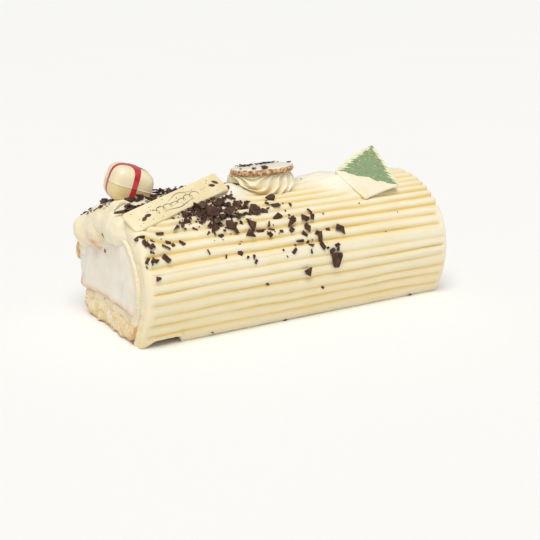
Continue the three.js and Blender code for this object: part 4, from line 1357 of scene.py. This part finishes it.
def make_flakes(trees, material):
    """The scraped chocolate. Each flake falls straight towards the log until it meets the cream, takes an
    axis midway between the section's normal and the way that the cream faces there, leans off it by up to
    its tilt, and is lifted along the normal to its height in the pile."""
    rng = np.random.default_rng(3)
    flakes = np.concatenate([drift_flakes(rng), laid_flakes()], axis=1)
    x, angle, size, lift, tilt, slimness = flakes
    starts = np.stack([x, *oval_point(COAT, angle, DROP)], axis=-1)
    normal = oval_normal(COAT, angle)
    # The last few come in along the log, to the left end.
    starts[-len(END_FLAKES):] = [(LEFT - 30.0, y, z) for y, z in END_FLAKES]
    normal[-len(END_FLAKES):] = (-1.0, 0.0, 0.0)
    places, facing, met = settle(trees, starts, -normal)
    shapes, faces = shards(len(x), size, rng, slimness)
    turned = np.einsum("npk,nkj->npj", shapes, frames_on(0.5 * (facing + normal), tilt, rng))
    turned += (places + normal * (lift + 0.1 * size + 0.1)[:, None])[:, None]
    # Nothing lies on the greeting plate or is pressed through it.
    over = np.abs((turned.mean(axis=1) - node_centre("greeting_plaque")) @ GREETING_AXES.T)
    clear = (over[:, 0] > GREETING["length"] / 2.0 + 0.5) | (over[:, 1] > GREETING["width"] / 2.0 + 0.8)
    points, faces = joined(turned[clear & met], faces)
    points[:, 2] = np.maximum(points[:, 2], 0.1)
    add_piece("chocolate_flakes", points, faces, material, flat=True)


# The largest shards' outlines, anticlockwise from outside the log: along, then round. Each is stretched
# to its size.
BREAKS = [
    [(-5, -1), (-5, -4), (-1, -5), (1, -3), (5, 1), (5, 3), (1, 4), (-4, 5)],
    [(-5, 3), (-3, -2), (1, -5), (5, 4)],
    [(-5, 0), (1, -3), (5, -5), (4, 2), (2, 5)],
    [(-5, 1), (-4, -3), (-1, -5), (3, -4), (5, 0), (3, 4), (-1, 5)],
    [(-5, 0), (-3, -3), (2, -5), (5, -1), (4, 5)],
    [(-5, 1), (0, -1), (3, -5), (5, 1), (-1, 5)],
    [(-5, -2), (0, -5), (5, -3), (4, 3), (-2, 5)],
]
SHARD_THICKNESS = 1.6


def make_large_shards(material):
    """The seven largest shards, one piece for each CAD node: an outline of straight breaks stretched to
    the node's size, a thin bevel and a slightly bowed face, laid flat on the coat at the node's place."""
    rng = np.random.default_rng(17)
    for number, breaks in enumerate(BREAKS, start=1):
        node = f"chocolate_flake_{number}"
        low, high = node_box(node)
        length, width, height = high - low
        _, y, z = (low + high) / 2.0
        angle = math.degrees(math.atan2((z - CENTRE_Z) / COAT[1], -y / COAT[0]))
        facing = oval_normal(COAT, np.array(angle))
        along = np.array((1.0, 0.25 * rng.uniform(-1, 1), 0.2))
        along /= np.linalg.norm(along)
        along -= facing * (along @ facing)
        along /= np.linalg.norm(along)
        axes = np.stack([along, np.cross(facing, along), facing])
        corners = np.array(breaks, float)
        corners *= np.array([length, math.hypot(width, height)]) / np.ptp(corners, axis=0)
        shape = plate(even_outline(corners, 90), SHARD_THICKNESS, 0.2)
        x, y = shape[..., 0], shape[..., 1]
        shape[..., 2] += 0.012 * x**2 + 0.15 * noise(x / 2.0, y / 2.0, (number - 1) * 3.1, 19)
        offset = seat(shape, axes, node)
        closed_loft(f"shard_{number}", shape @ axes + offset, material, (node,))


def crumb_bits(count, sizes, rng):
    """Small lumps as (count, 12, 3) points and the faces of one: an icosahedron with its corners pulled
    about."""
    golden = (1.0 + math.sqrt(5.0)) / 2.0
    corners = np.array([(a, b * golden, 0.0) for a in (-1, 1) for b in (-1, 1)])
    corners = np.concatenate([corners, np.roll(corners, 1, axis=1), np.roll(corners, 2, axis=1)]) / 1.9
    gaps = np.linalg.norm(corners[:, None] - corners[None], axis=-1)
    near = (gaps > 0.0) & (gaps < 1.2)
    faces = []
    for a, b, c in combinations(range(len(corners)), 3):
        if near[a, b] and near[b, c] and near[a, c]:
            facing = np.cross(corners[b] - corners[a], corners[c] - corners[a])
            faces.append((a, b, c) if facing @ corners[a] > 0.0 else (a, c, b))
    pulled = corners[None] * rng.uniform(0.6, 1.25, (count, 12, 1)) * sizes[:, None, None] / 2.0
    return pulled, faces


def make_crumbs(material):
    """Sponge crumbs that cling to both cut faces, nearly all of them low down, and along their bottom
    edges."""
    rng = np.random.default_rng(23)
    count = 1500
    side = rng.choice([-1.0, 1.0], count)
    low_down = rng.uniform(size=count) < 0.93
    turn = np.where(low_down, rng.uniform(-2.6, -0.3, count), rng.uniform(-math.pi, math.pi, count))
    inner, outer = outline(CREAM, CREAM_FLOOR, turn), outline(ROLL, 0.0, turn)
    share = 1.06 - rng.uniform(0.0, 1.0, count) ** 1.3
    x = side * (RIGHT + rng.uniform(-0.6, 2.0, count))
    places = in_section(x, inner + (outer - inner) * share, turn)
    places[:, 2] = np.maximum(places[:, 2], 0.3)
    shapes, faces = crumb_bits(count, 0.5 + 2.6 * rng.beta(1.2, 3.5, count), rng)
    points, faces = joined(shapes + places[:, None], faces)
    points[:, 2] = np.maximum(points[:, 2], 0.0)
    add_piece("sponge_crumbs", points, faces, material, values={"skin": np.zeros(len(points))})


# ---------------------------------------------------------------- the scene around it


def make_studio():
    """A wide white floor under white air, and one broad soft lamp so far away that it lights the floor
    evenly. It stands high, in front of the log and a little to its left."""
    scene = bpy.context.scene
    # In metres: the floor runs far past the edges of any view.
    half = 30.0
    corners = [(-half, -half, 0.0), (half, -half, 0.0), (half, half, 0.0), (-half, half, 0.0)]
    mesh = bpy.data.meshes.new("floor")
    mesh.from_pydata(corners, [], [(0, 1, 2, 3)])
    mesh.materials.append(painted_floor())
    floor = bpy.data.objects.new("floor", mesh)
    scene.collection.objects.link(floor)
    lamp = bpy.data.lights.new("key", "SUN")
    lamp.energy, lamp.angle, lamp.color = 2.15, math.radians(40.0), (1.0, 0.985, 0.955)
    holder = bpy.data.objects.new("key", lamp)
    scene.collection.objects.link(holder)
    holder.rotation_euler = Vector((0.28, 0.4, -1.0)).to_track_quat("-Z", "Y").to_euler()
    world = bpy.data.worlds.new("air")
    scene.world = world
    world.use_nodes = True
    # The air looks white itself, and lights the cake less than that.
    seen = add(world.node_tree, "LightPath", {}, out="Is Camera Ray")
    strength = add(world.node_tree, "MapRange", {"Value": seen, "To Min": 0.42, "To Max": 0.98})
    feed(world.node_tree, world.node_tree.nodes["Background"], {"Color": "ffffff", "Strength": strength})
    scene.view_settings.view_transform = "Standard"


def make_camera():
    """The camera stands front left of the log and looks a little down on it."""
    lens = bpy.data.cameras.new("camera")
    lens.lens, lens.sensor_width = 66.7, 36.0
    holder = bpy.data.objects.new("camera", lens)
    bpy.context.scene.collection.objects.link(holder)
    holder.location = (-0.34899, -0.59004, 0.22943)
    holder.rotation_euler = (math.radians(90.0 - 16.85), 0.0, math.radians(-30.725))
    bpy.context.scene.camera = holder


# ---------------------------------------------------------------- the whole cake

buttercream = whipped_buttercream()
sponge = baked_sponge()
dark = dark_chocolate()

coat = make_coat(buttercream)
billows = make_folded_cream(buttercream)
make_curl(buttercream)
core = make_core(white_mousse())
make_sponge(sponge)
make_scrap(sponge)
make_crumbs(sponge)
make_gift(
    white_chocolate("moulded_white_chocolate", "f4e9c8", "eee0b6", 0.3),
    cocoa_butter_print("red_cocoa_butter", "cf3a48", "b5202c", 5.0, 0.3),
)
make_greeting(
    white_chocolate("white_chocolate", "f5e8c4", "efddb0"),
    cocoa_butter_print("brown_cocoa_butter", "6b4630", "4e2f20", 2.0),
)
rosette = make_rosette(buttercream)
disc_place = make_disc(white_chocolate("white_disc_chocolate", "faf5e6", "f4ecd6"), toasted_crumb())
make_disc_shavings(disc_place, dark)
make_tree(
    white_chocolate("pale_white_chocolate", "f5ecd2", "f1e4c2"),
    cocoa_butter_print("green_cocoa_butter", "90a67c", "7f966c", 1.5),
    cocoa_butter_print("ochre_cocoa_butter", "dccf92", "a8955a", 0.8),
    cocoa_butter_print("pale_green_cocoa_butter", "eeeecb", "dfe4b4", 3.0),
)
make_large_shards(dark)
bpy.context.view_layer.update()
make_flakes([surface_tree(piece) for piece in (coat, billows, core, rosette)], dark)

make_studio()
make_camera()
